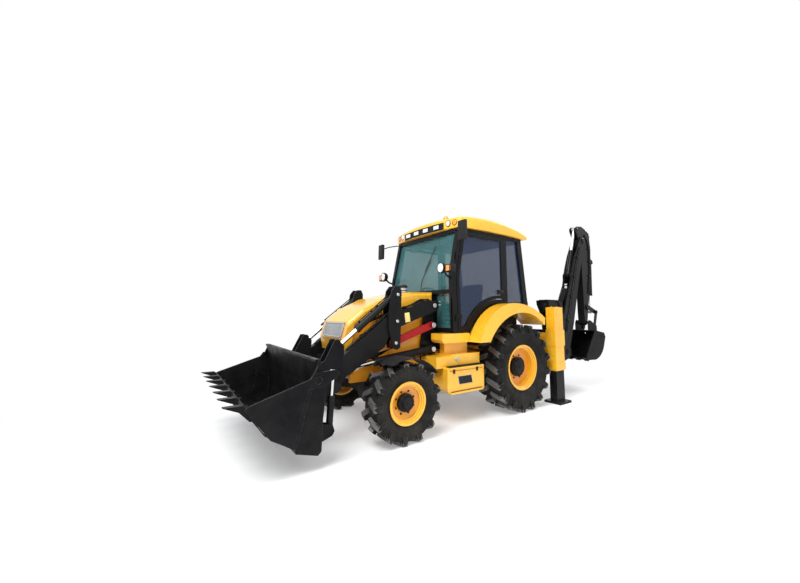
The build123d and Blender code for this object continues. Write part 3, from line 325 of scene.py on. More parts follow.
def makeFinish(name):
    look = finishes[name]
    material, tree, shader = newMaterial(name)
    drift = useGroup(tree, "drift", Colour=(*look["colour"], 1), Shade=(*look["shade"], 1), Scale=1.7)
    edge = useGroup(tree, "edge", Radius=edgeRadius, Spread=0.3)
    dust = useGroup(tree, "dust", Scale=4.5, Low=0.0, High=1.6, Amount=look["dust"])
    grain = useGroup(tree, "grain", Scale=look["grain"], Wave=5.0)
    # Edges mixed towards the edge colour: partly wear, partly painted highlight
    wornAndLitEdge = mathNode(tree, "MULTIPLY", edge.outputs["Mask"], look["wearAndHighlight"])
    colour = mixColour(tree, wornAndLitEdge, drift.outputs["Colour"], (*look["edge"], 1))
    colour = mixColour(tree, dust.outputs["Mask"], colour, dustColour)
    tree.links.new(colour, shader.inputs["Base Color"])
    low, high = look["gloss"]
    gloss = rangeNode(tree, grain.outputs["Gloss"], 0.3, 0.7, low, high)
    dusty = mathNode(tree, "MULTIPLY", dust.outputs["Mask"], 0.5)
    tree.links.new(mathNode(tree, "ADD", gloss, dusty, True), shader.inputs["Roughness"])
    shader.inputs["Metallic"].default_value = look.get("metal", 0.0)
    shader.inputs["Coat Weight"].default_value = look.get("coat", 0.0)
    shader.inputs["Coat Roughness"].default_value = 0.12
    shader.inputs["Specular IOR Level"].default_value = look.get("specular", 0.5)
    bump = tree.nodes.new("ShaderNodeBump")
    bump.inputs["Distance"].default_value = look["bump"]
    bump.inputs["Strength"].default_value = 0.6
    tree.links.new(grain.outputs["Height"], bump.inputs["Height"])
    tree.links.new(bump.outputs["Normal"], shader.inputs["Normal"])
    return material


materials = {name: makeFinish(name) for name in finishes}


def makeGlass(name, colour, alpha):
    material, tree, shader = newMaterial(name)
    drift = useGroup(tree, "drift", Colour=(*colour, 1), Shade=(*[c * 0.8 for c in colour], 1), Scale=1.1)
    tree.links.new(drift.outputs["Colour"], shader.inputs["Base Color"])
    grain = useGroup(tree, "grain", Scale=40.0, Wave=2.0)
    tree.links.new(rangeNode(tree, grain.outputs["Gloss"], 0.3, 0.7, *glassRoughness),
        shader.inputs["Roughness"])
    shader.inputs["Alpha"].default_value = alpha
    shader.inputs["IOR"].default_value = 1.5
    shader.inputs["Coat Weight"].default_value = 0.15
    shader.inputs["Coat Roughness"].default_value = 0.03
    return material


def makeGlow(name, colour, strength):
    material, tree, shader = newMaterial(name)
    drift = useGroup(tree, "drift", Colour=(*colour, 1), Shade=(*[c * 0.85 for c in colour], 1), Scale=30.0)
    tree.links.new(drift.outputs["Colour"], shader.inputs["Base Color"])
    tree.links.new(drift.outputs["Colour"], shader.inputs["Emission Color"])
    shader.inputs["Emission Strength"].default_value = strength
    shader.inputs["Roughness"].default_value = 0.15
    shader.inputs["Coat Weight"].default_value = 0.8
    return material


materials["tintedGlass"] = makeGlass("tintedGlass", (0.006, 0.022, 0.065), 0.66)
materials["clearGlass"] = makeGlass("clearGlass", (0.10, 0.34, 0.36), 0.20)
materials["clearLens"] = makeGlow("clearLens", (0.78, 0.80, 0.82), 0.12)
materials["amberLens"] = makeGlow("amberLens", (0.9, 0.28, 0.02), 0.15)
materials["redLens"] = makeGlow("redLens", (0.6, 0.02, 0.015), 0.1)
print("finishes made:", len(materials))

nodeFinish = {
    # The main frame and the engine sides take the darker yellow, which is painted shade
    "main_frame": "paintedShadeYellow", "rear_axle": "castIron", "front_axle": "castIron", "engine_block": "castIron",
    "engine_sides": "paintedShadeYellow", "grille": "mattePlastic", "cab_frame": "blackPaint",
    "cab_glass": "tintedGlass",
    "cab_roof": "yellowPaint", "rear_fenders": "yellowPaint", "side_boxes": "yellowPaint",
    "seat": "seatCloth",
    "steering": "mattePlastic", "rear_frame": "yellowPaint", "lamps": "mattePlastic",
    "mirrors": "mattePlastic",
    "knuckle_left": "mattePlastic", "knuckle_right": "mattePlastic", "loader_arm": "blackPaint",
    "bell_cranks": "blackPaint", "levelling_links": "redPaint", "arm_end_pins": "blackPaint",
    "loader_bucket": "bucketPaint", "bucket_jaw": "bucketPaint", "hood": "yellowPaint",
    "door_left": "blackPaint",
    "door_right": "blackPaint", "door_glass_left": "tintedGlass", "door_glass_right": "tintedGlass",
    "stabiliser_left": "blackPaint", "stabiliser_right": "blackPaint", "carriage": "blackPaint",
    "kingpost": "blackPaint", "boom": "blackPaint", "dipper": "blackPaint", "tipping_lever": "blackPaint",
    "tipping_link": "blackPaint", "digger_bucket": "bucketPaint",
}
for name, node in cadNodes.items():
    finish = nodeFinish.get(name)
    if finish is None:
        finish = "chrome" if name.endswith("_rod") else "blackPaint"
        if name.startswith("tyre"):
            finish = "tyreRubber"
        elif name.startswith("rim"):
            finish = "yellowPaint"
    node.data.materials.clear()
    node.data.materials.append(materials[finish])

# The panes in front and at the back are clearer than the others
panes = cadNodes["cab_glass"].data
panes.materials.append(materials["clearGlass"])
for polygon in panes.polygons:
    if polygon.center.x > 1.0 or abs(polygon.center.y) < 0.75:
        polygon.material_index = 1


# Mesh tools: each adds one closed form to a mesh in the making. Edges bent by more than the first angle are
# bevelled, and shading breaks at the second
bevelAngle, smoothAngle = radians(28), radians(35)
bothHands = ((1, "left"), (-1, "right"))


def span(hand, near, far, middle=0.0):
    return sorted((middle + hand * near, middle + hand * far))


def circle(sides):
    return [2 * pi * k / sides for k in range(sides)]


def joinRings(shape, near, far, mark=0):
    for k in range(len(near)):
        n = (k + 1) % len(near)
        shape.faces.new((near[k], near[n], far[n], far[k])).material_index = mark


def finishForm(shape, verts, edge, mark):
    faces = {face for vert in verts for face in vert.link_faces}
    for face in faces:
        face.material_index = mark
    if edge:
        sharp = [link for link in {link for face in faces for link in face.edges}
            if len(link.link_faces) == 2 and link.calc_face_angle(0) > bevelAngle]
        bmesh.ops.bevel(shape, geom=sharp, offset=edge, segments=2, profile=0.65, affect="EDGES",
            clamp_overlap=True)


def addBox(shape, low, high, edge=0.004, mark=0, turn=None):
    made = bmesh.ops.create_cube(shape, size=1)
    middle = [(a + b) / 2 for a, b in zip(low, high)]
    extent = [b - a for a, b in zip(low, high)]
    matrix = Matrix.Translation(middle) @ (turn or Matrix()) @ Matrix.Diagonal((*extent, 1))
    bmesh.ops.transform(shape, matrix=matrix, verts=made["verts"])
    finishForm(shape, made["verts"], edge, mark)


def addTurned(shape, foot, way, profile, sides=28, mark=0):
    # profile: (along, radius) pairs, closed where the last is the first
    closed = profile[0] == profile[-1] and profile[0][1] > 0
    turn = Vector(way).normalized().to_track_quat("Z", "Y")
    rings = []
    for along, radius in (profile[:-1] if closed else profile):
        if radius == 0:
            rings.append([shape.verts.new(Vector(foot) + turn @ Vector((0, 0, along)))])
            continue
        spots = [Vector((radius * cos(angle), radius * sin(angle), along)) for angle in circle(sides)]
        rings.append([shape.verts.new(Vector(foot) + turn @ spot) for spot in spots])
    for near, far in zip(rings, rings[1:] + rings[:1] if closed else rings[1:]):
        if len(near) == len(far):
            joinRings(shape, near, far, mark)
            continue
        for k in range(sides):
            n = (k + 1) % sides
            corners = (near[0], far[k], far[n]) if len(near) == 1 else (near[k], near[n], far[0])
            shape.faces.new(corners).material_index = mark


def addRod(shape, start, end, radius, edge=0.002, sides=20, mark=0):
    length = (Vector(end) - Vector(start)).length
    edge = min(edge, radius / 2, length / 3)
    addTurned(shape, start, Vector(end) - Vector(start),
        ((0, 0), (0, radius - edge), (edge, radius), (length - edge, radius), (length, radius - edge),
        (length, 0)), sides, mark)


def addRing(shape, foot, way, inner, outer, depth, edge=0.002, sides=32, mark=0):
    addTurned(shape, foot, way, ((0, inner), (0, outer - edge), (edge, outer), (depth - edge, outer),
        (depth, outer - edge), (depth, inner), (0, inner)), sides, mark)


def addPlate(shape, outline, yLow, yHigh, edge=0.003, mark=0):
    near = [shape.verts.new((x, yLow, z)) for x, z in outline]
    far = [shape.verts.new((x, yHigh, z)) for x, z in outline]
    shape.faces.new(near)
    shape.faces.new(far[::-1])
    for k in range(len(near)):
        n = (k + 1) % len(near)
        shape.faces.new((near[n], near[k], far[k], far[n]))
    finishForm(shape, near + far, edge, mark)


def bentLine(points, bend, steps=5):
    spots = [Vector(point) for point in points]
    line = [spots[0]]
    for before, corner, after in zip(spots, spots[1:], spots[2:]):
        reach = min(bend, (before - corner).length / 2.05, (after - corner).length / 2.05)
        start = corner + (before - corner).normalized() * reach
        end = corner + (after - corner).normalized() * reach
        for k in range(steps + 1):
            t = k / steps
            line.append(start * (1 - t) ** 2 + corner * 2 * t * (1 - t) + end * t ** 2)
    line.append(spots[-1])
    return line


def addPipe(shape, points, radius, bend=0.05, sides=10, mark=0):
    line = bentLine(points, bend)
    rings = []
    across = None
    for k, spot in enumerate(line):
        ahead = (line[min(k + 1, len(line) - 1)] - line[max(k - 1, 0)]).normalized()
        across = ahead.orthogonal() if across is None else across - ahead * across.dot(ahead)
        across.normalize()
        other = ahead.cross(across)
        spots = [spot + radius * (across * cos(angle) + other * sin(angle)) for angle in circle(sides)]
        rings.append([shape.verts.new(place) for place in spots])
    for near, far in zip(rings, rings[1:]):
        joinRings(shape, near, far, mark)
    shape.faces.new(rings[0][::-1]).material_index = mark
    shape.faces.new(rings[-1]).material_index = mark


def addBolt(shape, foot, way, size, mark=0):
    addTurned(shape, foot, way, ((0, 0), (0, size * 1.5), (size * 0.2, size * 1.5), (size * 0.25, size * 1.4),
        (size * 0.25, 0)), 16, mark)
    top = Vector(foot) + Vector(way).normalized() * size * 0.24
    addTurned(shape, top, way, ((0, 0), (0, size), (size * 0.6, size), (size * 0.75, size * 0.8),
        (size * 0.75, 0)), 6, mark)


def placeMesh(shape, name, names):
    bmesh.ops.recalc_face_normals(shape, faces=shape.faces)
    mesh = bpy.data.meshes.new(name)
    shape.to_mesh(mesh)
    shape.free()
    for entry in names:
        mesh.materials.append(materials[entry])
    mesh.polygons.foreach_set("use_smooth", [True] * len(mesh.polygons))
    piece = bpy.data.objects.new(name, mesh)
    scene.collection.objects.link(piece)
    return piece


def newPiece(name, body, finish, build):
    names = (finish,) if isinstance(finish, str) else finish
    shape = bmesh.new()
    build(shape)
    piece = placeMesh(shape, name, names)
    piece.data.set_sharp_from_angle(angle=smoothAngle)
    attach(piece, body)
    return piece


def roundPiece(piece):
    rounding = piece.modifiers.new("rounding", "SUBSURF")
    rounding.levels = 2
    rounding.render_levels = 2


# Wheels: bolts in the hub and the disc, a valve and ribs on the tyre's side
wheelFittings = {
    "front": {"x": 2.153, "tyreRadius": 0.460, "track": 1.935, "rim": 0.232, "width": 0.335, "bolts": 10,
              "lug": 0.030},
    "rear": {"x": 0.0, "tyreRadius": 0.661, "track": 1.735, "rim": 0.330, "width": 0.470, "bolts": 12,
             "lug": 0.036},
    "hubShare": 0.46,
    "boltSize": 0.0105,
    "ribHeight": 0.004,
}


def dressWheel(end, hand, side):
    look = wheelFittings[end]
    body = "wheel_" + end + "_" + side
    rim, hub = look["rim"], look["rim"] * wheelFittings["hubShare"]
    middle = Vector((look["x"], hand * look["track"] / 2, look["tyreRadius"]))
    out = Vector((0, hand, 0))

    def ringSpot(radius, turn, along):
        return middle + Vector((radius * cos(turn), hand * along, radius * sin(turn)))

    def build(shape):
        for k in range(look["bolts"]):
            turn = 2 * pi * k / look["bolts"]
            addBolt(shape, ringSpot(hub - 0.017, turn, 0.0955), out, wheelFittings["boltSize"], 0)
        for k in range(8):
            turn = 2 * pi * (k + 0.5) / 8
            addTurned(shape, ringSpot(hub + 0.028, turn, 0.0455), out,
                ((0, 0), (0, 0.017), (0.006, 0.016), (0.006, 0.010), (0.014, 0.009), (0.014, 0)), 14, 0)
        addTurned(shape, middle + out * 0.1215, out, ((0, 0), (0, hub * 0.5), (0.010, hub * 0.47),
            (0.012, hub * 0.2), (0.026, hub * 0.16), (0.028, 0)), 28, 0)
        addPipe(shape, [ringSpot(rim * 0.80, 0.6, 0.05), ringSpot(rim * 0.82, 0.6, 0.085),
            ringSpot(rim * 0.86, 0.6, 0.1)], 0.005, 0.01, 8, 1)

    newPiece("hubBolts_" + end + "_" + side, body, ("blackPaint", "steel"), build)

    def buildRibs(shape):
        crown = look["tyreRadius"] - look["lug"]
        for share, high in ((0.46, 0.006), (0.56, 0.006)):
            radius = rim + share * (crown - rim)
            foot = look["width"] * 0.49 - 0.0015
            for face in (1, -1):
                way = out * face
                addTurned(shape, middle + way * foot, way,
                    ((0, radius), (wheelFittings["ribHeight"] - 0.001, radius + 0.002),
                    (wheelFittings["ribHeight"] - 0.001, radius + high), (0, radius + high + 0.002),
                    (0, radius)), 48, 0)

    newPiece("sideRibs_" + end + "_" + side, body, "tyreRubber", buildRibs)


for end in ("front", "rear"):
    for hand, side in bothHands:
        dressWheel(end, hand, side)
        node = cadNodes["rim_" + end + "_" + side]
        look = wheelFittings[end]
        hub = look["rim"] * wheelFittings["hubShare"]
        # The rims' discs take the darker yellow as painted shade; the hubs' faces are black
        node.data.materials.append(materials["paintedShadeYellow"])
        node.data.materials.append(materials["blackPaint"])
        for polygon in node.data.polygons:
            x, y, z = polygon.center
            radius = hypot(x - look["x"], z - look["tyreRadius"])
            outward = hand * y - look["track"] / 2
            if radius < hub + 0.003 and outward > 0.0465:
                polygon.material_index = 2
            elif radius < look["rim"] - 0.05:
                polygon.material_index = 1
print("wheels dressed")

# Hood: the air cleaner, the nose's mesh, latches and louvres
hoodFittings = {
    "cleaner": (1.665, 0.16, 1.795),
    "cleanerRadius": 0.052,
    "noseHalf": 0.335,
    "noseTop": (2.6435, 1.385),
    "noseLow": (2.6905, 1.195),
    "slats": 15,
}


def buildCleaner(shape):
    x, y, z = hoodFittings["cleaner"]
    radius = hoodFittings["cleanerRadius"]
    addTurned(shape, (x, y, z), (0, 0, 1), ((0, 0), (0, radius * 0.8), (0.022, radius * 0.8), (0.026, radius),
        (0.085, radius), (0.09, radius * 0.94), (0.09, 0)), 28, 0)
    addTurned(shape, (x, y, z + 0.09), (0, 0, 1), ((0, 0), (0, radius * 1.18), (0.012, radius * 1.22),
        (0.03, radius * 1.1), (0.046, radius * 0.6), (0.05, 0)), 28, 1)
    addRing(shape, (x, y, z + 0.045), (0, 0, 1), radius - 0.002, radius + 0.004, 0.012, 0.001, 28, 1)


newPiece("airCleaner", "hood", ("greyPaint", "mattePlastic"), buildCleaner)


def buildNose(shape):
    top, low = hoodFittings["noseTop"], hoodFittings["noseLow"]
    half = hoodFittings["noseHalf"]
    length = hypot(low[0] - top[0], low[1] - top[1])
    down = Vector((low[0] - top[0], 0, low[1] - top[1])) / length
    out = Vector((-down.z, 0, down.x))
    if out.x < 0:
        out = -out
    turn = Matrix(((out.x, 0, -down.x, 0), (0, 1, 0, 0), (out.z, 0, -down.z, 0), (0, 0, 0, 1)))

    def slab(yLow, yHigh, start, stop, thick, edge, mark, lift=0.0):
        middle = Vector((top[0], (yLow + yHigh) / 2, top[1]))
        middle = middle + down * (start + stop) / 2 + out * (lift + thick / 2)
        extent = Vector((thick, yHigh - yLow, stop - start)) / 2
        addBox(shape, middle - extent, middle + extent, edge, mark, turn)

    slab(-half, half, 0.004, length - 0.004, 0.004, 0.001, 1)
    for yLow, yHigh in ((-half, 0.03 - half), (half - 0.03, half)):
        slab(yLow, yHigh, 0, length, 0.014, 0.003, 0)
    slab(-half, half, 0, 0.02, 0.014, 0.003, 0)
    slab(-half, half, length - 0.02, length, 0.014, 0.003, 0)
    count = hoodFittings["slats"]
    for k in range(count):
        at = 0.024 + (length - 0.048) * (k + 0.5) / count
        slab(0.03 - half, half - 0.03, at - 0.0035, at + 0.0035, 0.006, 0.001, 0, 0.003)
    for k in range(23):
        y = -half + 0.05 + (2 * half - 0.1) * k / 22
        slab(y - 0.004, y + 0.004, 0.018, length - 0.018, 0.005, 0.001, 0, 0.003)


newPiece("noseMesh", "hood", ("greyPaint", "mattePlastic"), buildNose)


def buildHoodTrim(shape):
    for hand in (1, -1):
        addBox(shape, (1.95, hand * 0.4315 - 0.003, 1.60), (2.01, hand * 0.4315 + 0.003, 1.66), 0.002)
        addBox(shape, (1.965, hand * 0.437 - 0.004, 1.605), (1.995, hand * 0.437 + 0.004, 1.64), 0.002)
        for k in range(7):
            x = 2.10 + k * 0.038
            addBox(shape, (x, hand * 0.4305 - 0.004, 1.46 - 0.012 * k),
                (x + 0.014, hand * 0.4305 + 0.004, 1.585 - 0.016 * k), 0.003)


newPiece("hoodLatches", "hood", "mattePlastic", buildHoodTrim)
print("hood dressed")

# Rams: where the gland, the two ports and the pipe between them sit on a barrel
ramForms = {
    "loader": {
        "gland": 0.045, "glandEnd": 0.0445, "lip": 0.0035, "lipEnd": 0.040, "first": 0.11, "last": 0.09,
        "sunk": 0.008, "high": 0.022, "port": 0.013, "line": 0.016, "bends": (0.04, 0.04), "pipe": 0.0075,
        "sides": 10,
    },
    "digger": {
        "gland": 0.040, "glandEnd": 0.0405, "lip": 0.003, "lipEnd": 0.036, "first": 0.10, "last": 0.08,
        "sunk": 0.006, "high": 0.018, "port": 0.011, "line": 0.012, "bends": (0.03, 0.04), "pipe": 0.006,
        "sides": 8,
    },
}


def addRamFittings(shape, form, foot, way, out, radius, end):
    # out points to the ports' side, and is None on a ram without ports
    look = ramForms[form]
    addTurned(shape, foot + way * (end - look["gland"]), way,
        ((0, radius - 0.001), (0.002, radius + look["lip"]), (look["lipEnd"], radius + look["lip"]),
        (look["glandEnd"], radius - 0.001), (0, radius - 0.001)), 28)
    if out is None:
        return
    first, last = look["first"], end - look["last"]
    for at in (first, last):
        addRod(shape, foot + way * at + out * (radius - look["sunk"]),
            foot + way * at + out * (radius + look["high"]), look["port"], 0.002, 12)
    places = (first, first + look["bends"][0], last - look["bends"][1], last)
    addPipe(shape, [foot + way * at + out * (radius + look["line"]) for at in places], look["pipe"], 0.02,
        look["sides"])


# Loader: pin caps, pipes with clamps, a blank label, the rams' fittings, and the bucket's rim and ribs
loaderFittings = {
    "y": 0.590,
    "armPivot": (1.440, 1.615), "linkPin": (1.455, 1.335), "liftBase": (1.455, 1.000),
    "leverPin": (2.070, 1.400), "leverLow": (2.085, 1.120), "leverTop": (2.068, 1.750),
    "liftEye": (2.596, 0.860), "bracketPin": (2.830, 1.112),
    "towerPinEnd": 0.657, "crankPinEnd": 0.6795,
    "pipe": 0.0085,
}


def addCap(shape, x, z, y, hand, radius, mark=0):
    addTurned(shape, (x, hand * y, z), (0, hand, 0), ((0, 0), (0, radius), (0.006, radius),
        (0.009, radius * 0.88), (0.009, radius * 0.4), (0.006, radius * 0.36), (0.006, 0)), 24, mark)


def dressLoader():
    fit = loaderFittings

    def buildTowerCaps(shape):
        for hand in (1, -1):
            addCap(shape, *fit["linkPin"], fit["towerPinEnd"], hand, 0.036)
            addCap(shape, *fit["liftBase"], fit["towerPinEnd"], hand, 0.036)
            addCap(shape, *fit["armPivot"], fit["towerPinEnd"], hand, 0.03)

    newPiece("towerPinCaps", "chassis", "steel", buildTowerCaps)

    def buildCrankCaps(shape):
        for hand in (1, -1):
            for spot in (fit["leverPin"], fit["leverLow"], fit["leverTop"]):
                addCap(shape, *spot, fit["crankPinEnd"] - 0.001, hand, 0.021)

    newPiece("crankPinCaps", "bell_cranks", "steel", buildCrankCaps)

    def buildArmPipes(shape):
        for hand in (1, -1):
            for y in (0.562, 0.586):
                addPipe(shape, [(1.47, hand * y, 1.672), (1.50, hand * y, 1.706), (1.66, hand * y, 1.690),
                    (1.79, hand * y, 1.618), (1.99, hand * y, 1.562), (2.135, hand * y, 1.523),
                    (2.60, hand * y, 1.166), (2.70, hand * y, 1.088), (2.72, hand * y, 1.05)], fit["pipe"],
                    0.06)
            for x, z, tilt in ((1.62, 1.690, 0.1), (1.90, 1.585, 0.28), (2.30, 1.392, 0.65),
                    (2.52, 1.222, 0.65)):
                addBox(shape, (x - 0.02, hand * 0.574 - 0.036, z - 0.018),
                    (x + 0.02, hand * 0.574 + 0.036, z + 0.016), 0.004, 0, Matrix.Rotation(tilt, 4, "Y"))

    newPiece("armPipes", "loader_arm", "blackPaint", buildArmPipes)

    def buildLabel(shape):
        addBox(shape, (1.855, 0.6445, 1.385), (1.932, 0.6465, 1.512), 0.0008, 0,
            Matrix.Rotation(0.16, 4, "Y"))

    newPiece("armLabel", "loader_arm", "labelPaper", buildLabel)

    # Rams' glands and ports: name, body, base, eye, barrel radius, barrel end, side of the ports
    rams = (
        ("lift", "lift_barrels", fit["liftBase"], fit["liftEye"], 0.054, 0.900, (0, -1)),
        ("tilt", "tilt_barrels", fit["leverTop"], fit["bracketPin"], 0.046, 0.700, (0, 1)),
    )
    for name, body, base, eye, radius, end, port in rams:
        way = Vector((eye[0] - base[0], 0, eye[1] - base[1])).normalized()
        up = Vector((-way.z, 0, way.x)) * (1 if -way.z * port[0] + way.x * port[1] > 0 else -1)

        def buildRam(shape):
            for hand in (1, -1):
                foot = Vector((base[0], hand * fit["y"], base[1]))
                addRamFittings(shape, "loader", foot, way, up, radius, end)
                for at in (0.3, end - 0.3):
                    addBox(shape, foot + way * at + up * (radius + 0.008) - Vector((0.012, 0.014, 0.012)),
                           foot + way * at + up * (radius + 0.008) + Vector((0.012, 0.014, 0.012)), 0.003, 0,
                           way.to_track_quat("X", "Z").to_matrix().to_4x4())

        newPiece(name + "RamFittings", body, "blackPaint", buildRam)

    def buildBucketRim(shape):
        addPlate(shape, ((3.218, 1.028), (3.216, 1.052), (3.262, 1.052), (3.262, 1.030)), -1.10, 1.10, 0.005)
        for k in range(9):
            y = -0.90 + 1.80 * k / 8
            addPlate(shape, ((3.169, 0.30), (3.169, 0.80), (3.152, 0.76), (3.150, 0.34)), y - 0.006,
                y + 0.006, 0.002)

    newPiece("bucketRim", "loader_bucket", "bucketPaint", buildBucketRim)


dressLoader()
print("loader dressed")

# Roof: a bowed shell in place of the plain one, with its lamps
roofShape = {
    "rear": -0.455, "front": 1.150, "bow": 0.085, "half": 0.900, "crown": 0.028,
    # share of the length from the rear, height of the underside and of the top at the side
    "sections": ((0.0, 2.776, 2.838), (0.03, 2.770, 2.868), (0.10, 2.772, 2.910), (0.25, 2.784, 2.960),
                 (0.45, 2.790, 2.988), (0.65, 2.790, 2.990), (0.82, 2.786, 2.976), (0.93, 2.780, 2.960),
                 (0.975, 2.778, 2.950), (1.0, 2.780, 2.938)),
    "stripHalf": 0.560, "stripLow": 2.788, "stripHigh": 2.900,
    "lampPlaces": (-0.405, -0.135, 0.135, 0.405), "lampHalf": 0.080, "lampHigh": 0.042,
    "cornerLamps": ((0.655, 0.050), (0.785, 0.046)),
}


def roofFront(y):
    return roofShape["front"] + roofShape["bow"] * (1 - (y / roofShape["half"]) ** 2)


def makeRoof():
    look = roofShape
    ys = (-1.0, -0.97, -0.88, -0.6, -0.3, 0.0, 0.3, 0.6, 0.88, 0.97, 1.0)
    shape = bmesh.new()
    layers = []
    for level in (0.0, 0.10, 0.5, 0.86, 1.0):
        inset = 0.018 if level == 1.0 else 0.0
        rows = []
        for share, low, high in look["sections"]:
            row = []
            for across in ys:
                y = across * (look["half"] - inset)
                rear = look["rear"] + 0.05 * across ** 2 + inset
                x = rear + share * (roofFront(y) - inset - rear)
                top = high + look["crown"] * (1 - across ** 2)
                row.append(shape.verts.new((x, y, low + (top - low) * level)))
            rows.append(row)
        layers.append(rows)
    lastX, lastY = len(look["sections"]) - 1, len(ys) - 1
    for rows, flip in ((layers[0], True), (layers[-1], False)):
        for i in range(lastX):
            for j in range(lastY):
                corners = [rows[i][j], rows[i + 1][j], rows[i + 1][j + 1], rows[i][j + 1]]
                shape.faces.new(corners[::-1] if flip else corners)
    around = [(i, 0) for i in range(lastX)] + [(lastX, j) for j in range(lastY)]
    around += [(i, lastY) for i in range(lastX, 0, -1)] + [(0, j) for j in range(lastY, 0, -1)]
    for lower, upper in zip(layers, layers[1:]):
        for (a, b), (c, d) in zip(around, around[1:] + around[:1]):
            shape.faces.new((lower[a][b], lower[c][d], upper[c][d], upper[a][b]))
    for layer in layers[1:-1]:
        for i in range(1, lastX):
            for j in range(1, lastY):
                shape.verts.remove(layer[i][j])
    piece = placeMesh(shape, "roofShell", ("yellowPaint",))
    roundPiece(piece)
    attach(piece, "chassis")
    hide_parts("cab_roof")


makeRoof()


def addLampBlock(shape, x, y, z, half, high, depth):
    addBox(shape, (x, y - half, z - high), (x + depth, y + half, z + high), 0.006, 0)
    addBox(shape, (x + depth * 0.4, y - half + 0.008, z - high + 0.008),
        (x + depth + 0.006, y + half - 0.008, z + high - 0.008), 0.006, 1)
    for k in range(1, 6):
        line = y - half + 0.008 + (2 * half - 0.016) * k / 6
        addBox(shape, (x + depth, line - 0.001, z - high + 0.012),
            (x + depth + 0.0085, line + 0.001, z + high - 0.012), 0.0005, 1)


def addRoundLamp(shape, spot, way, radius, depth, mark):
    addTurned(shape, spot, way, ((0, 0), (0, radius * 0.72), (depth * 0.3, radius), (depth, radius * 1.04),
        (depth + 0.006, radius * 1.02), (depth + 0.006, radius * 0.9), (depth + 0.002, radius * 0.88),
        (depth + 0.002, 0)), 32)
    lens = [(depth + 0.001, 0)] + [(depth + 0.001 + 0.010 * cos(t * pi / 2),
        radius * 0.9 * sin(t * pi / 2)) for t in (1.0, 0.85, 0.65, 0.4, 0.2)] + [(depth + 0.011, 0)]
    addTurned(shape, spot, way, lens, 32, mark)


def buildRoofLamps(shape):
    look = roofShape
    low, high = look["stripLow"], look["stripHigh"]
    steps = 24
    outline = []
    for k in range(steps + 1):
        y = look["stripHalf"] * (2 * k / steps - 1)
        outline.append((roofFront(y), y))
    for (xa, ya), (xb, yb) in zip(outline, outline[1:]):
        corners = [(xa - 0.02, ya), (xb - 0.02, yb), (xb + 0.003, yb), (xa + 0.003, ya)]
        lower = [shape.verts.new((x, y, low)) for x, y in corners]
        upper = [shape.verts.new((x, y, high)) for x, y in corners]
        shape.faces.new(lower[::-1])
        shape.faces.new(upper)
        joinRings(shape, lower, upper)
    for y in look["lampPlaces"]:
        addLampBlock(shape, roofFront(y) - 0.012, y, (low + high) / 2, look["lampHalf"], look["lampHigh"],
            0.022)
    for hand in (1, -1):
        (whiteY, whiteRadius), (amberY, amberRadius) = look["cornerLamps"]
        addRoundLamp(shape, (roofFront(whiteY) - 0.022, hand * whiteY, 2.868), (1, 0, 0), whiteRadius, 0.022,
            1)
        addRoundLamp(shape, (roofFront(amberY) - 0.024, hand * amberY, 2.862), (1, hand * 0.12, 0),
            amberRadius, 0.022, 2)
        addBox(shape, (-0.462, hand * 0.70 - 0.065, 2.825), (-0.425, hand * 0.70 + 0.065, 2.885), 0.008, 0)
        addBox(shape, (-0.472, hand * 0.70 - 0.055, 2.833), (-0.45, hand * 0.70 + 0.055, 2.877), 0.006, 1)


roofLamps = newPiece("roofLamps", "chassis", ("mattePlastic", "clearLens", "amberLens"), buildRoofLamps)

# Head lamps, indicators and the beacon, in place of the plain ones
lampPlaces = {
    "head": (1.395, 0.835, 2.140), "headRadius": 0.072, "headDepth": 0.080,
    "indicator": (1.400, 0.975, 2.128), "indicatorHalf": 0.048,
    "beacon": (0.900, 0.250, 2.996),
}


def buildHeadLamps(shape):
    x, y, z = lampPlaces["head"]
    radius, depth = lampPlaces["headRadius"], lampPlaces["headDepth"]
    ix, iy, iz = lampPlaces["indicator"]
    half = lampPlaces["indicatorHalf"]
    for hand in (1, -1):
        addTurned(shape, (x, hand * y, z), (1, 0, 0), ((0, 0), (0, 0.022), (0.006, 0.045),
            (0.028, radius * 0.96), (0.05, radius * 1.05), (depth, radius * 1.08),
            (depth + 0.006, radius * 1.05), (depth + 0.006, radius * 0.92), (depth + 0.001, radius * 0.9),
            (depth + 0.001, 0)), 36, 0)
        addTurned(shape, (x + depth, hand * y, z), (1, 0, 0),
            ((0.0005, 0), (0.0005, radius * 0.9), (0.006, radius * 0.86), (0.012, radius * 0.62),
            (0.015, radius * 0.3), (0.016, 0)), 36, 1)
        addBox(shape, (ix - 0.045, hand * iy - half - 0.008, iz - half - 0.008),
            (ix + 0.05, hand * iy + half + 0.008, iz + half + 0.008), 0.012, 0)
        addBox(shape, (ix + 0.03, hand * iy - half, iz - half), (ix + 0.062, hand * iy + half, iz + half),
            0.010, 2)
        addPipe(shape, [(1.245, hand * 0.80, 2.03), (1.30, hand * 0.81, 2.02), (1.37, hand * 0.835, 2.05),
            (1.405, hand * 0.84, 2.09), (1.41, hand * 0.84, 2.13)], 0.015, 0.03, 12)
        addBox(shape, (1.236, hand * 0.80 - 0.035, 1.985), (1.252, hand * 0.80 + 0.035, 2.07), 0.004)
        addBolt(shape, (1.251, hand * 0.80, 2.055), (1, 0, 0), 0.008)


headLamps = newPiece("headLamps", "chassis", ("mattePlastic", "clearLens", "amberLens"), buildHeadLamps)


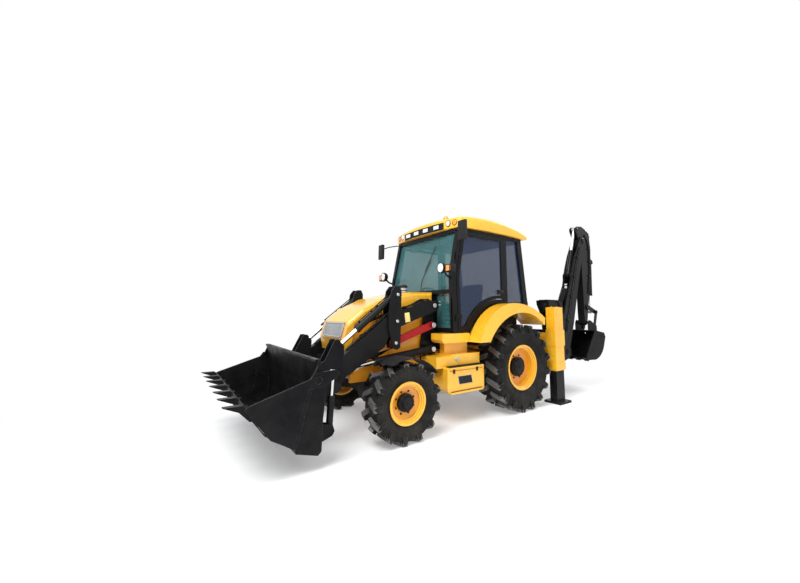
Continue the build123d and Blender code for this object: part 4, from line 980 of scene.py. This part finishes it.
def buildBeacon(shape):
    x, y, z = lampPlaces["beacon"]
    addTurned(shape, (x, y, z), (0, 0, 1), ((0, 0), (0, 0.075), (0.010, 0.075), (0.018, 0.062),
        (0.030, 0.060), (0.030, 0)), 32, 0)
    addTurned(shape, (x, y, z + 0.029), (0, 0, 1), ((0, 0), (0, 0.055), (0.02, 0.056), (0.055, 0.052),
        (0.078, 0.043), (0.090, 0.026), (0.094, 0)), 32, 1)
    for k in range(5):
        addRing(shape, (x, y, z + 0.036 + 0.010 * k), (0, 0, 1), 0.050, 0.0572 - 0.0005 * k, 0.004, 0.001, 32,
            1)


beacon = newPiece("beacon", "chassis", ("mattePlastic", "amberLens"), buildBeacon)
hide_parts("lamps")

# Mirrors: rounded housings with their glass on bent tubes
mirrorShape = {"x": 1.325, "y": 1.167, "low": 2.505, "high": 2.790, "half": 0.082, "depth": 0.048}


def buildMirrors(shape):
    look = mirrorShape
    middle = (look["low"] + look["high"]) / 2
    for hand in (1, -1):
        y = hand * look["y"]
        addBox(shape, (look["x"], y - look["half"], look["low"]),
            (look["x"] + look["depth"], y + look["half"], look["high"]), 0.022, 0)
        addBox(shape, (look["x"] - 0.004, y - look["half"] + 0.012, look["low"] + 0.014),
               (look["x"] + 0.01, y + look["half"] - 0.012, look["high"] - 0.014), 0.003, 1)
        addPipe(shape, [(1.14, hand * 0.80, 2.735), (1.20, hand * 0.83, 2.735), (1.30, hand * 0.98, 2.72),
            (look["x"] + 0.01, y - hand * 0.06, 2.70), (look["x"] + 0.016, y - hand * 0.02, middle + 0.03)],
            0.009, 0.06, 12)
        addRod(shape, (look["x"] + 0.014, y, middle - 0.02), (look["x"] + 0.014, y, middle + 0.06), 0.016)
        addBox(shape, (1.11, hand * 0.80 - 0.03, 2.715), (1.152, hand * 0.80 + 0.03, 2.755), 0.005)


mirrorPiece = newPiece("mirrorPair", "chassis", ("mattePlastic", "chrome"), buildMirrors)
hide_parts("mirrors")
print("roof, lamps and mirrors made")

# Driver's seat: cushion and back as crowned pads with sewn channels, arm rests and a ribbed foot
seatShape = {
    # lowest and highest corner, lean, and the point that it leans about
    "cushion": ((0.18, -0.25, 1.392), (0.65, 0.25, 1.505), 0.0, (0.4, 0, 1.45)),
    "back": ((0.075, -0.235, 1.505), (0.185, 0.235, 2.02), -0.13, (0.13, 0, 1.50)),
    "fill": 0.8, "crown": 0.38, "seamAt": 0.34, "seamHalf": 0.06, "seamDepth": 0.055,
}


def makePad(name, low, high, lean, anchor):
    # a pad of a box's size, crowned in its middle, with two sewn channels, leaning about y at the anchor
    look = seatShape
    shape = bmesh.new()
    bmesh.ops.create_cube(shape, size=1)
    bmesh.ops.subdivide_edges(shape, edges=shape.edges, cuts=5, use_grid_fill=True)
    extent = [b - a for a, b in zip(low, high)]
    middle = [(a + b) / 2 for a, b in zip(low, high)]
    thin = extent.index(min(extent))
    wide = [k for k in range(3) if k != thin]
    for vert in shape.verts:
        spot = list(vert.co * 2)
        crown = (1 - spot[wide[0]] ** 2) * (1 - spot[wide[1]] ** 2)
        edgeShare = max(abs(spot[wide[0]]), abs(spot[wide[1]]))
        pull = 0.80 + look["crown"] * crown
        onSeam = abs(abs(spot[wide[1]]) - look["seamAt"]) < look["seamHalf"] and edgeShare < 0.9
        channel = look["seamDepth"] if onSeam else 0.0
        spot[thin] *= pull - channel
        for k in wide:
            spot[k] *= 1 - 0.035 * abs(spot[thin]) - 0.012 * (1
                - abs(spot[wide[0] if k == wide[1] else wide[1]]) ** 2)
        vert.co = [spot[k] * extent[k] / 2 + middle[k] for k in range(3)]
    bmesh.ops.rotate(shape, cent=anchor, matrix=Matrix.Rotation(lean, 3, "Y"), verts=shape.verts)
    piece = placeMesh(shape, name, ("seatCloth",))
    roundPiece(piece)
    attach(piece, "chassis")
    return piece


cushion = makePad("seatCushion", *seatShape["cushion"])
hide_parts("seat")
makePad("seatBack", *seatShape["back"])


def buildSeatFoot(shape):
    for k in range(7):
        z = 1.13 + 0.034 * k
        wide = 0.145 if k % 2 else 0.130
        addBox(shape, (0.40 - wide, -wide, z - 0.017), (0.40 + wide, wide, z + 0.018), 0.008, 0)
    addBox(shape, (0.22, -0.17, 1.061), (0.58, 0.17, 1.115), 0.01, 0)
    addBox(shape, (0.20, -0.21, 1.362), (0.62, 0.21, 1.398), 0.01, 0)
    for hand in (1, -1):
        addBox(shape, (0.20, hand * 0.285 - 0.03, 1.63), (0.52, hand * 0.285 + 0.03, 1.675), 0.018, 0)
        addPipe(shape, [(0.17, hand * 0.25, 1.46), (0.17, hand * 0.285, 1.50), (0.20, hand * 0.285, 1.645)],
            0.012, 0.03, 10)


newPiece("seatFoot", "chassis", "mattePlastic", buildSeatFoot)

# Steering wheel and dash, then the wiper, grab rails, consoles, levers and roof lining, and the doors' handles
def buildSteering(shape):
    addPlate(shape, ((1.15, 1.061), (1.222, 1.061), (1.222, 1.785), (1.16, 1.785), (1.06, 1.70), (1.06, 1.61),
        (1.12, 1.55)), -0.18, 0.18, 0.012)
    foot, way = Vector((1.06, 0, 1.65)), Vector((-0.5, 0, 0.86)).normalized()
    addTurned(shape, foot, way, ((0, 0), (0, 0.045), (0.10, 0.034), (0.16, 0.030), (0.168, 0)), 24)
    centre = foot + way * 0.19
    side = Vector((0, 1, 0))
    front = side.cross(way)
    ring = []
    for turn in circle(48):
        out = side * cos(turn) + front * sin(turn)
        middle = centre + out * 0.195
        spots = [middle + 0.014 * (out * cos(angle) + way * sin(angle)) for angle in circle(10)]
        ring.append([shape.verts.new(place) for place in spots])
    for near, far in zip(ring, ring[1:] + ring[:1]):
        joinRings(shape, near, far)
    for turn in (pi / 2, pi / 2 + 2.2, pi / 2 - 2.2):
        out = side * cos(turn) + front * sin(turn)
        addPipe(shape, [centre - way * 0.018, centre + out * 0.09 - way * 0.010, centre + out * 0.19], 0.009,
            0.03, 8)
    addTurned(shape, centre - way * 0.028, way, ((0, 0), (0, 0.030), (0.012, 0.045), (0.030, 0.040),
        (0.034, 0)), 24)
    for k in range(2):
        addTurned(shape, (1.072 + 0.05 * k, 0.06 - 0.12 * k, 1.72 + 0.035 * k), (-0.6, 0, 0.8),
            ((0, 0), (0, 0.032), (0.008, 0.032), (0.008, 0.028), (0.005, 0.026), (0.005, 0)), 24)


steeringPiece = newPiece("steeringDesk", "chassis", "mattePlastic", buildSteering)
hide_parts("steering")


def buildCabTrim(shape):
    addPipe(shape, [(1.262, 0.06, 1.845), (1.276, 0.06, 1.90), (1.278, 0.10, 2.02), (1.216, 0.26, 2.34)],
        0.006, 0.03, 8)
    addPipe(shape, [(1.2495, 0.13, 2.16), (1.172, 0.32, 2.56)], 0.006, 0.02, 8)
    addRod(shape, (1.258, 0.06, 1.83), (1.282, 0.06, 1.835), 0.02)
    for hand in (1, -1):
        addPipe(shape, [(1.262, hand * 0.815, 1.42), (1.285, hand * 0.815, 1.44), (1.285, hand * 0.815, 1.72),
            (1.262, hand * 0.815, 1.74)], 0.010, 0.03, 10)
    addBox(shape, (-0.20, -0.52, 1.061), (0.06, -0.27, 1.60), 0.02)
    addBox(shape, (-0.20, 0.27, 1.061), (0.06, 0.52, 1.60), 0.02)
    for hand in (1, -1):
        for k in range(2):
            addPipe(shape, [(-0.12 + 0.09 * k, hand * 0.38, 1.598), (-0.12 + 0.09 * k, hand * 0.38, 1.78)],
                0.007, 0.02, 8)
            addTurned(shape, (-0.12 + 0.09 * k, hand * 0.38, 1.76), (0, 0, 1),
                ((0, 0), (0.004, 0.016), (0.02, 0.021), (0.038, 0.014), (0.042, 0)), 16)
    addBox(shape, (-0.30, -0.70, 2.70), (1.02, 0.70, 2.722), 0.008)
    for y in (-0.45, 0.45):
        addBox(shape, (0.98, y - 0.16, 2.60), (1.06, y + 0.16, 2.70), 0.015)


newPiece("cabTrim", "chassis", "mattePlastic", buildCabTrim)

for hand, side in bothHands:
    def buildDoorTrim(shape):
        y = hand * 0.8575
        addBox(shape, (0.215, y - 0.012, 1.80), (0.330, y + 0.012, 1.875), 0.008)
        addPipe(shape, [(0.225, y + hand * 0.010, 1.845), (0.235, y + hand * 0.036, 1.845),
            (0.31, y + hand * 0.036, 1.845), (0.32, y + hand * 0.010, 1.845)], 0.008, 0.015, 10)
        addRod(shape, (0.31, y, 1.815), (0.31, y + hand * 0.018, 1.815), 0.011, 0.001)
        inner = y - hand * 0.045
        addPipe(shape, [(1.06, inner, 1.55), (1.03, inner - hand * 0.04, 1.57),
            (0.72, inner - hand * 0.04, 1.78), (0.70, inner, 1.80)], 0.011, 0.04, 10)
        for low in (1.3803, 2.2903):
            for z in (low + 0.07, low + 0.09):
                addBolt(shape, (1.135, hand * 0.8675, z), (0, hand, 0), 0.005)

    newPiece("doorHandle_" + side, "door_" + side, "mattePlastic", buildDoorTrim)
print("cab dressed")


# Wheel tread: the lugs' shoulders, drawn over the plain lugs of the tyres and down their sides
treadBars = {
    "front": {"count": 13, "wall": 0.062, "lean": 0.075},
    "rear": {"count": 17, "wall": 0.072, "lean": 0.095},
    "proud": -0.0006,
    "sideReach": 0.085,
}


def addTread(end, hand, side):
    look, wheel = treadBars[end], wheelFittings[end]
    middle = Vector((wheel["x"], hand * wheel["track"] / 2, wheel["tyreRadius"]))
    top = wheel["tyreRadius"]
    crown = top - wheel["lug"]

    def build(shape):
        for half in (1, -1):
            for k in range(look["count"]):
                turn = 2 * pi * (k + 0.25 * half) / look["count"]
                outer = half * wheel["width"] * 0.4935
                wall = look["wall"] / 2
                rows = []
                # stations: across, lean, radius of the top, radius of the foot, half wall
                for across, lean, high, low, thick in ((half * wheel["width"] * 0.30, look["lean"] * 0.42,
                        top + treadBars["proud"] * 0.5, crown - 0.004, wall * 0.98),
                        (half * wheel["width"] * 0.42, look["lean"] * 0.18, top - 0.001, crown - 0.020,
                        wall * 1.02), (outer, 0.0, top - 0.012, crown - 0.030, wall * 1.05),
                        (outer - half * 0.0005, -0.006, crown - 0.022, crown - 0.060, wall * 0.98),
                        (outer - half * 0.002, -0.014, crown - treadBars["sideReach"] * 0.9,
                        crown - treadBars["sideReach"] - 0.012, wall * 0.62)):
                    row = []
                    for level, shift in ((high, -thick), (high, thick), (low, thick), (low, -thick)):
                        angle = turn + (lean + shift) / level
                        row.append(shape.verts.new(middle + Vector((level * sin(angle), across,
                            level * cos(angle)))))
                    rows.append(row)
                shape.faces.new(rows[0][::-1])
                shape.faces.new(rows[-1])
                for near, far in zip(rows, rows[1:]):
                    joinRings(shape, near, far)
        edges = [edge for edge in shape.edges
            if len(edge.link_faces) == 2 and edge.calc_face_angle(0) > radians(40)]
        bmesh.ops.bevel(shape, geom=edges, offset=0.004, segments=2, profile=0.6, affect="EDGES",
            clamp_overlap=True)

    newPiece("treadBars_" + end + "_" + side, "wheel_" + end + "_" + side, "tyreRubber", build)


for end in ("front", "rear"):
    for hand, side in bothHands:
        addTread(end, hand, side)
        tyre, look = cadNodes["tyre_" + end + "_" + side].data, wheelFittings[end]
        # The lugs' tops take the lighter rubber, a painted highlight
        tyre.materials.append(materials["treadHighlightRubber"])
        for polygon in tyre.polygons:
            x, y, z = polygon.center
            if hypot(x - look["x"], z - look["tyreRadius"]) > look["tyreRadius"] - look["lug"] + 0.004:
                polygon.material_index = 1
print("tread made")

# Side boxes: tread plates, blank plate with a pale border, lid seam, latches and filler cap
boxFittings = {
    "face": 0.950, "treadFrom": 0.800, "treadTo": 1.405, "treadTop": 0.7725, "lowTop": 0.4505,
    "plate": ((0.995, 0.543), (1.235, 0.543), (1.255, 0.645), (1.015, 0.645)),
    "border": 0.006, "cap": (1.200, 0.865),
}


def buildBoxTrim(shape):
    look = boxFittings
    for hand in (1, -1):
        a, b = span(hand, 0.872, 0.973)
        addBox(shape, (look["treadFrom"], a, look["treadTop"]),
            (look["treadTo"], b, look["treadTop"] + 0.010), 0.003, 0)
        for k in range(19):
            x = look["treadFrom"] + 0.02 + (look["treadTo"] - look["treadFrom"] - 0.04) * k / 18
            addBox(shape, (x - 0.006, a + 0.008, look["treadTop"] + 0.008),
                (x + 0.006, b - 0.008, look["treadTop"] + 0.016), 0.002, 0)
        a, b = span(hand, 0.9505, 0.974)
        for k in range(22):
            x = 0.815 + 0.56 * k / 21
            addBox(shape, (x - 0.005, a, look["lowTop"]), (x + 0.005, b, look["lowTop"] + 0.008), 0.0015, 0)
        a, b = span(hand, look["face"] - 0.001, look["face"] + 0.0045)
        outline = look["plate"]
        cx = sum(x for x, z in outline) / 4
        cz = sum(z for x, z in outline) / 4
        wide = [(x + look["border"] * (1 if x > cx else -1),
            z + look["border"] * (1 if z > cz else -1)) for x, z in outline]
        addPlate(shape, wide, a, b, 0.002, 2)
        a, b = span(hand, look["face"] + 0.003, look["face"] + 0.0065)
        addPlate(shape, outline, a, b, 0.0015, 0)
        a, b = span(hand, look["face"] - 0.001, look["face"] + 0.002)
        addBox(shape, (0.79, a, 0.722), (1.41, b, 0.727), 0.0008, 0)
        for x in (0.90, 1.33):
            a, b = span(hand, look["face"], look["face"] + 0.012)
            addBox(shape, (x - 0.016, a, 0.690), (x + 0.016, b, 0.748), 0.004, 0)
            addBolt(shape, (x, hand * (look["face"] + 0.011), 0.705), (0, hand, 0), 0.005, 0)
        x, z = look["cap"]
        addTurned(shape, (x, hand * 0.8585, z), (0, hand, 0),
            ((0, 0), (0, 0.030), (0.008, 0.030), (0.010, 0.026), (0.022, 0.024), (0.024, 0)), 24, 2)
        for x in (0.80, 1.26):
            for z in (0.80, 0.89):
                addBolt(shape, (x, hand * 0.8595, z), (0, hand, 0), 0.006, 3)


newPiece("boxTrim", "chassis", ("mattePlastic", "steel", "greyPaint", "yellowPaint"), buildBoxTrim)

# Mudguards: a rolled lip, and lamps at the back
guardFittings = {"out": 1.1, "lip": 0.007, "lamp": (-0.575, 1.015, 1.362)}


def arcPoints(start, middle, end, count):
    # points on the circle through three points given as (x, z)
    (ax, az), (bx, bz), (cx, cz) = start, middle, end
    d = 2 * (ax * (bz - cz) + bx * (cz - az) + cx * (az - bz))
    ux = ((ax ** 2 + az ** 2) * (bz - cz) + (bx ** 2 + bz ** 2) * (cz - az) + (cx ** 2 + cz ** 2)
        * (az - bz)) / d
    uz = ((ax ** 2 + az ** 2) * (cx - bx) + (bx ** 2 + bz ** 2) * (ax - cx) + (cx ** 2 + cz ** 2)
        * (bx - ax)) / d
    radius = hypot(ax - ux, az - uz)
    first, mid, last = (atan2(z - uz, x - ux) for x, z in (start, middle, end))
    if not min(first, last) < mid < max(first, last):
        last += 2 * pi if last < first else -2 * pi
    return [(ux + radius * cos(first + (last - first) * k / count),
        uz + radius * sin(first + (last - first) * k / count)) for k in range(count + 1)]


def buildGuardTrim(shape):
    look = guardFittings
    arch = arcPoints((-0.545, 1.309), (0.0, 1.5175), (0.764, 1.095), 26)
    for hand in (1, -1):
        y = hand * (look["out"] - look["lip"] - 0.0005)
        addPipe(shape, [(x, y, z) for x, z in arch], look["lip"], 0.02, 8, 0)
        x, y, z = look["lamp"]
        addBox(shape, (x - 0.012, hand * y - 0.065, z - 0.034), (x + 0.016, hand * y + 0.065, z + 0.034),
            0.006, 1)
        addBox(shape, (x - 0.022, hand * y - 0.058, z - 0.026), (x, hand * y + 0.004, z + 0.026), 0.006, 2)
        addBox(shape, (x - 0.022, hand * y + 0.008, z - 0.026), (x, hand * y + 0.058, z + 0.026), 0.006, 3)


newPiece("guardTrim", "chassis", ("yellowPaint", "mattePlastic", "redLens", "amberLens"), buildGuardTrim)

# Stabilisers: bands, caps and bolts on the outer legs, and bolts and ribs on the pads
legFittings = {"x": -0.905, "y": 1.045, "halfX": 0.125, "halfY": 0.085, "bandLow": 0.545, "bandHigh": 0.655,
    "wall": 0.0115}


def buildLegBands(shape):
    look = legFittings
    for hand in (1, -1):
        y = hand * look["y"]
        low, high, wall = look["bandLow"], look["bandHigh"], look["wall"]
        outX, outY = look["halfX"] + wall, look["halfY"] + wall
        for face in (1, -1):
            a, b = span(face, look["halfX"], outX)
            addBox(shape, (look["x"] + a, y - outY, low), (look["x"] + b, y + outY, high), 0.003, 0)
            a, b = span(face, look["halfY"], outY)
            addBox(shape, (look["x"] - look["halfX"], y + a, low), (look["x"] + look["halfX"], y + b, high),
                0.003, 0)
        for x in (-0.075, 0.075):
            addBolt(shape, (look["x"] + x, y + hand * (outY - 0.012), 0.60), (0, hand, 0), 0.012, 0)
        addBox(shape, (look["x"] - 0.10, y - 0.06, 1.5985), (look["x"] + 0.10, y + 0.06, 1.606), 0.002, 0)
        for x in (-0.08, 0.08):
            addBolt(shape, (look["x"] + x, y, 1.605), (0, 0, 1), 0.010, 0)
        for z in (0.985, 1.165):
            a, b = span(hand, 0.0965, 0.1, y)
            addBox(shape, (look["x"] - 0.06, a, z - 0.012), (look["x"] + 0.06, b, z + 0.012), 0.001, 0)


newPiece("legBands", "chassis", "yellowPaint", buildLegBands)
for hand, side in bothHands:
    def buildPadPins(shape):
        x, y = legFittings["x"], hand * legFittings["y"]
        for a in (-0.135, 0.135):
            for b in (-0.135, 0.135):
                addBolt(shape, (x + a, y + b, 0.0335), (0, 0, 1), 0.010, 0)
        for k in range(4):
            a, b = ((0.111, 0), (-0.111, 0), (0, 0.071), (0, -0.071))[k]
            if a:
                reach = 0.035 if a > 0 else -0.035
                addPlate(shape, ((x + a, 0.034), (x + a + reach, 0.034), (x + a, 0.10)), y - 0.006, y + 0.006,
                    0.001, 0)

    newPiece("padBolts_" + side, "stabiliser_" + side, "blackPaint", buildPadPins)
print("boxes, mudguards and stabilisers dressed")

# Digging arm: pin caps, pipes and clamps, and the glands and ports of its rams and of the jaw's
diggerFittings = {
    "y": 0.660, "boomHalf": 0.100, "dipperHalf": 0.078, "pipe": 0.0095,
    "boomFoot": (-1.680, 0.760), "boomRamBase": (-1.327, 1.245), "dipperRamBase": (-2.020, 2.270),
    "dipperPivot": (-2.500, 3.050), "dipperTail": (-2.334, 3.288), "bucketRamBase": (-2.900, 2.600),
    "leverEnd": (-2.840, 1.520), "boomRamEye": (-1.960, 2.060),
    "postFace": 0.136,
}


def dressDigger():
    fit = diggerFittings
    middle = fit["y"]

    def caps(shape, spot, reach, radius):
        for hand in (1, -1):
            addTurned(shape, (spot[0], middle + hand * reach, spot[1]), (0, hand, 0),
                ((-0.002, 0), (-0.002, radius), (0.010, radius), (0.014, radius * 0.86),
                (0.014, radius * 0.45), (0.010, radius * 0.4), (0.010, 0)), 24, 0)
            addBolt(shape, (spot[0], middle + hand * (reach + 0.009), spot[1]), (0, hand, 0), radius * 0.22,
                0)

    def buildPostCaps(shape):
        caps(shape, fit["boomFoot"], fit["postFace"], 0.060)
        caps(shape, fit["boomRamBase"], fit["postFace"], 0.048)
        for hand in (1, -1):
            y = middle + hand * 0.145
            addPipe(shape, [(-1.35, y, 1.745), (-1.42, y, 1.70), (-1.50, y, 1.50), (-1.50, y, 1.22),
                (-1.44, y, 1.16)], fit["pipe"], 0.05)
        addBox(shape, (-1.39, middle - 0.10, 1.737), (-1.13, middle + 0.10, 1.752), 0.004, 0)

    newPiece("postCaps", "kingpost", "blackPaint", buildPostCaps)

    def buildBoomTrim(shape):
        caps(shape, fit["dipperPivot"], fit["boomHalf"], 0.062)
        for hand in (1, -1):
            for shift in (0.0, 0.030):
                y = middle + hand * (fit["boomHalf"] + fit["pipe"] + 0.001)
                addPipe(shape, [(x + shift, y, z) for x,
                    z in ((-1.715, 1.14), (-1.79, 1.35), (-1.935, 1.75), (-2.07, 2.12), (-2.165, 2.42),
                    (-2.285, 2.72), (-2.355, 2.89))], fit["pipe"], 0.08, 8, 0)
            for x, z in ((-1.775, 1.36), (-1.95, 1.83), (-2.095, 2.24), (-2.245, 2.65)):
                a, b = span(hand, fit["boomHalf"], fit["boomHalf"] + 0.026, middle)
                addBox(shape, (x - 0.040, a, z - 0.016), (x + 0.052, b, z + 0.016), 0.004, 0,
                    Matrix.Rotation(-0.35, 4, "Y"))
            a, b = span(hand, fit["boomHalf"], fit["boomHalf"] + 0.005, middle)
            addPlate(shape, ((-1.63, 0.78), (-1.66, 0.76), (-1.78, 0.80), (-1.98, 1.30), (-1.96, 1.31)), a, b,
                0.0015, 0)

    newPiece("boomTrim", "boom", "blackPaint", buildBoomTrim)

    def buildDipperTrim(shape):
        for hand in (1, -1):
            y = middle + hand * (fit["dipperHalf"] + fit["pipe"] + 0.001)
            for shift in (0.0, 0.028):
                addPipe(shape, [(-2.60, y, 3.20 - shift), (-2.70, y, 3.10 - shift), (-2.770 + shift, y, 2.90),
                    (-2.762 + shift, y, 2.50), (-2.70 + shift, y, 2.15), (-2.655 + shift, y, 1.90)],
                    fit["pipe"], 0.08, 8, 0)
            for x, z in ((-2.752, 2.90), (-2.744, 2.62), (-2.708, 2.30)):
                a, b = span(hand, fit["dipperHalf"], fit["dipperHalf"] + 0.026, middle)
                addBox(shape, (x - 0.030, a, z - 0.015), (x + 0.042, b, z + 0.015), 0.004, 0)
        for hand in (1, -1):
            addTurned(shape, (fit["dipperTail"][0], middle + hand * fit["dipperHalf"], fit["dipperTail"][1]),
                (0, hand, 0), ((-0.002, 0), (-0.002, 0.040), (0.0015, 0.040), (0.0025, 0.038), (0.0025, 0)),
                24, 0)
        for y in (middle - 0.030, middle + 0.030):
            addPipe(shape, [(-2.69, y, 3.295), (-2.70, y, 3.335), (-2.80, y, 3.325), (-2.868, y, 3.23),
                (-2.885, y, 2.95), (-2.868, y, 2.80), (-2.815, y, 2.78)], 0.0105, 0.06, 8, 1)
            for z in (3.20, 2.96):
                addBox(shape, (-2.90, y - 0.016, z - 0.010), (-2.80, y + 0.016, z + 0.010), 0.003, 0)

    newPiece("dipperTrim", "dipper", ("blackPaint", "steel"), buildDipperTrim)

    def buildLeverCaps(shape):
        caps(shape, fit["leverEnd"], 0.129, 0.032)

    newPiece("leverCaps", "tipping_lever", "blackPaint", buildLeverCaps)
    # name, body, y, base, eye, barrel radius, barrel end, ports' side
    rams = (
        ("boom", "boom_barrel", (middle,), fit["boomRamBase"], fit["boomRamEye"], 0.056, 0.920, 1),
        ("dipper", "dipper_barrel", (middle,), fit["dipperRamBase"], fit["dipperTail"], 0.048, 0.565, 1),
        ("bucket", "bucket_barrel", (middle,), fit["bucketRamBase"], fit["leverEnd"], 0.042, 0.725, 0),
        ("clam", "loader_bucket", (1.065, -1.065), (3.078, 0.345), (3.062, 0.900), 0.034, 0.330, 0),
    )
    for name, body, places, base, eye, radius, end, port in rams:
        way = Vector((eye[0] - base[0], 0, eye[1] - base[1])).normalized()
        out = Vector((-way.z, 0, way.x)) if port else None
        if port and out.x < 0:
            out = -out

        def buildRam(shape):
            for y in places:
                foot = Vector((base[0], y, base[1]))
                addRamFittings(shape, "digger", foot, way, out, radius, end)

        newPiece(name + "RamGland", body, "blackPaint", buildRam)


dressDigger()

# Jaw: strips on its sides over the seam to the bucket, bolts along its front, and wear bars under the floor
jawFittings = {"half": 1.162, "strip": ((3.322, 0.780), (3.376, 0.598), (3.441, 0.264), (3.412, 0.262),
    (3.342, 0.590), (3.292, 0.780))}


def buildJawTrim(shape):
    look = jawFittings
    for hand in (1, -1):
        a, b = span(hand, look["half"] - 0.018, look["half"] - 0.004)
        addPlate(shape, look["strip"], a, b, 0.002, 0)
    for k in range(7):
        y = (k - 3) * (2 * look["half"] - 0.12) / 6
        for shift in (-0.018, 0.018):
            addBolt(shape, (3.842, y + shift, 0.700), (-0.35, 0, 1), 0.007, 0)
    for y in (-0.95, -0.55, 0.55, 0.95):
        addPlate(shape, ((3.536, 0.317), (3.646, 0.382), (3.80, 0.585), (3.806, 0.58), (3.652, 0.374),
            (3.54, 0.308)), y - 0.03, y + 0.03, 0.002, 0)


newPiece("jawTrim", "jaw", "bucketPaint", buildJawTrim)
print("digging arm and jaw dressed")


# Floor, which fades into the white background away from the machine
def makeFloor():
    half = floorFinish["size"] / 2
    mesh = bpy.data.meshes.new("floor")
    mesh.from_pydata([(-half, -half, 0), (half, -half, 0), (half, half, 0), (-half, half, 0)], [],
        [(0, 1, 2, 3)])
    floor = bpy.data.objects.new("floor", mesh)
    scene.collection.objects.link(floor)
    material, tree, shader = newMaterial("floorPaper")
    shader.inputs["Base Color"].default_value = floorFinish["colour"]
    shader.inputs["Roughness"].default_value = 0.9
    white = tree.nodes.new("ShaderNodeEmission")
    place = tree.nodes.new("ShaderNodeTexCoord")
    reach = tree.nodes.new("ShaderNodeVectorMath")
    reach.operation = "DISTANCE"
    reach.inputs[1].default_value = floorFinish["middle"]
    tree.links.new(place.outputs["Object"], reach.inputs[0])
    faded = rangeNode(tree, reach.outputs["Value"], floorFinish["fadeFrom"], floorFinish["fadeTo"],
        floorFinish["glow"], 1.0)
    mix = tree.nodes.new("ShaderNodeMixShader")
    tree.links.new(mathNode(tree, "MULTIPLY", faded, seenRay(tree)), mix.inputs[0])
    tree.links.new(shader.outputs[0], mix.inputs[1])
    tree.links.new(white.outputs[0], mix.inputs[2])
    tree.links.new(mix.outputs[0], tree.nodes["Material Output"].inputs["Surface"])
    mesh.materials.append(material)


makeFloor()
makeCamera()
makeLights()
print("floor, camera and lights made")
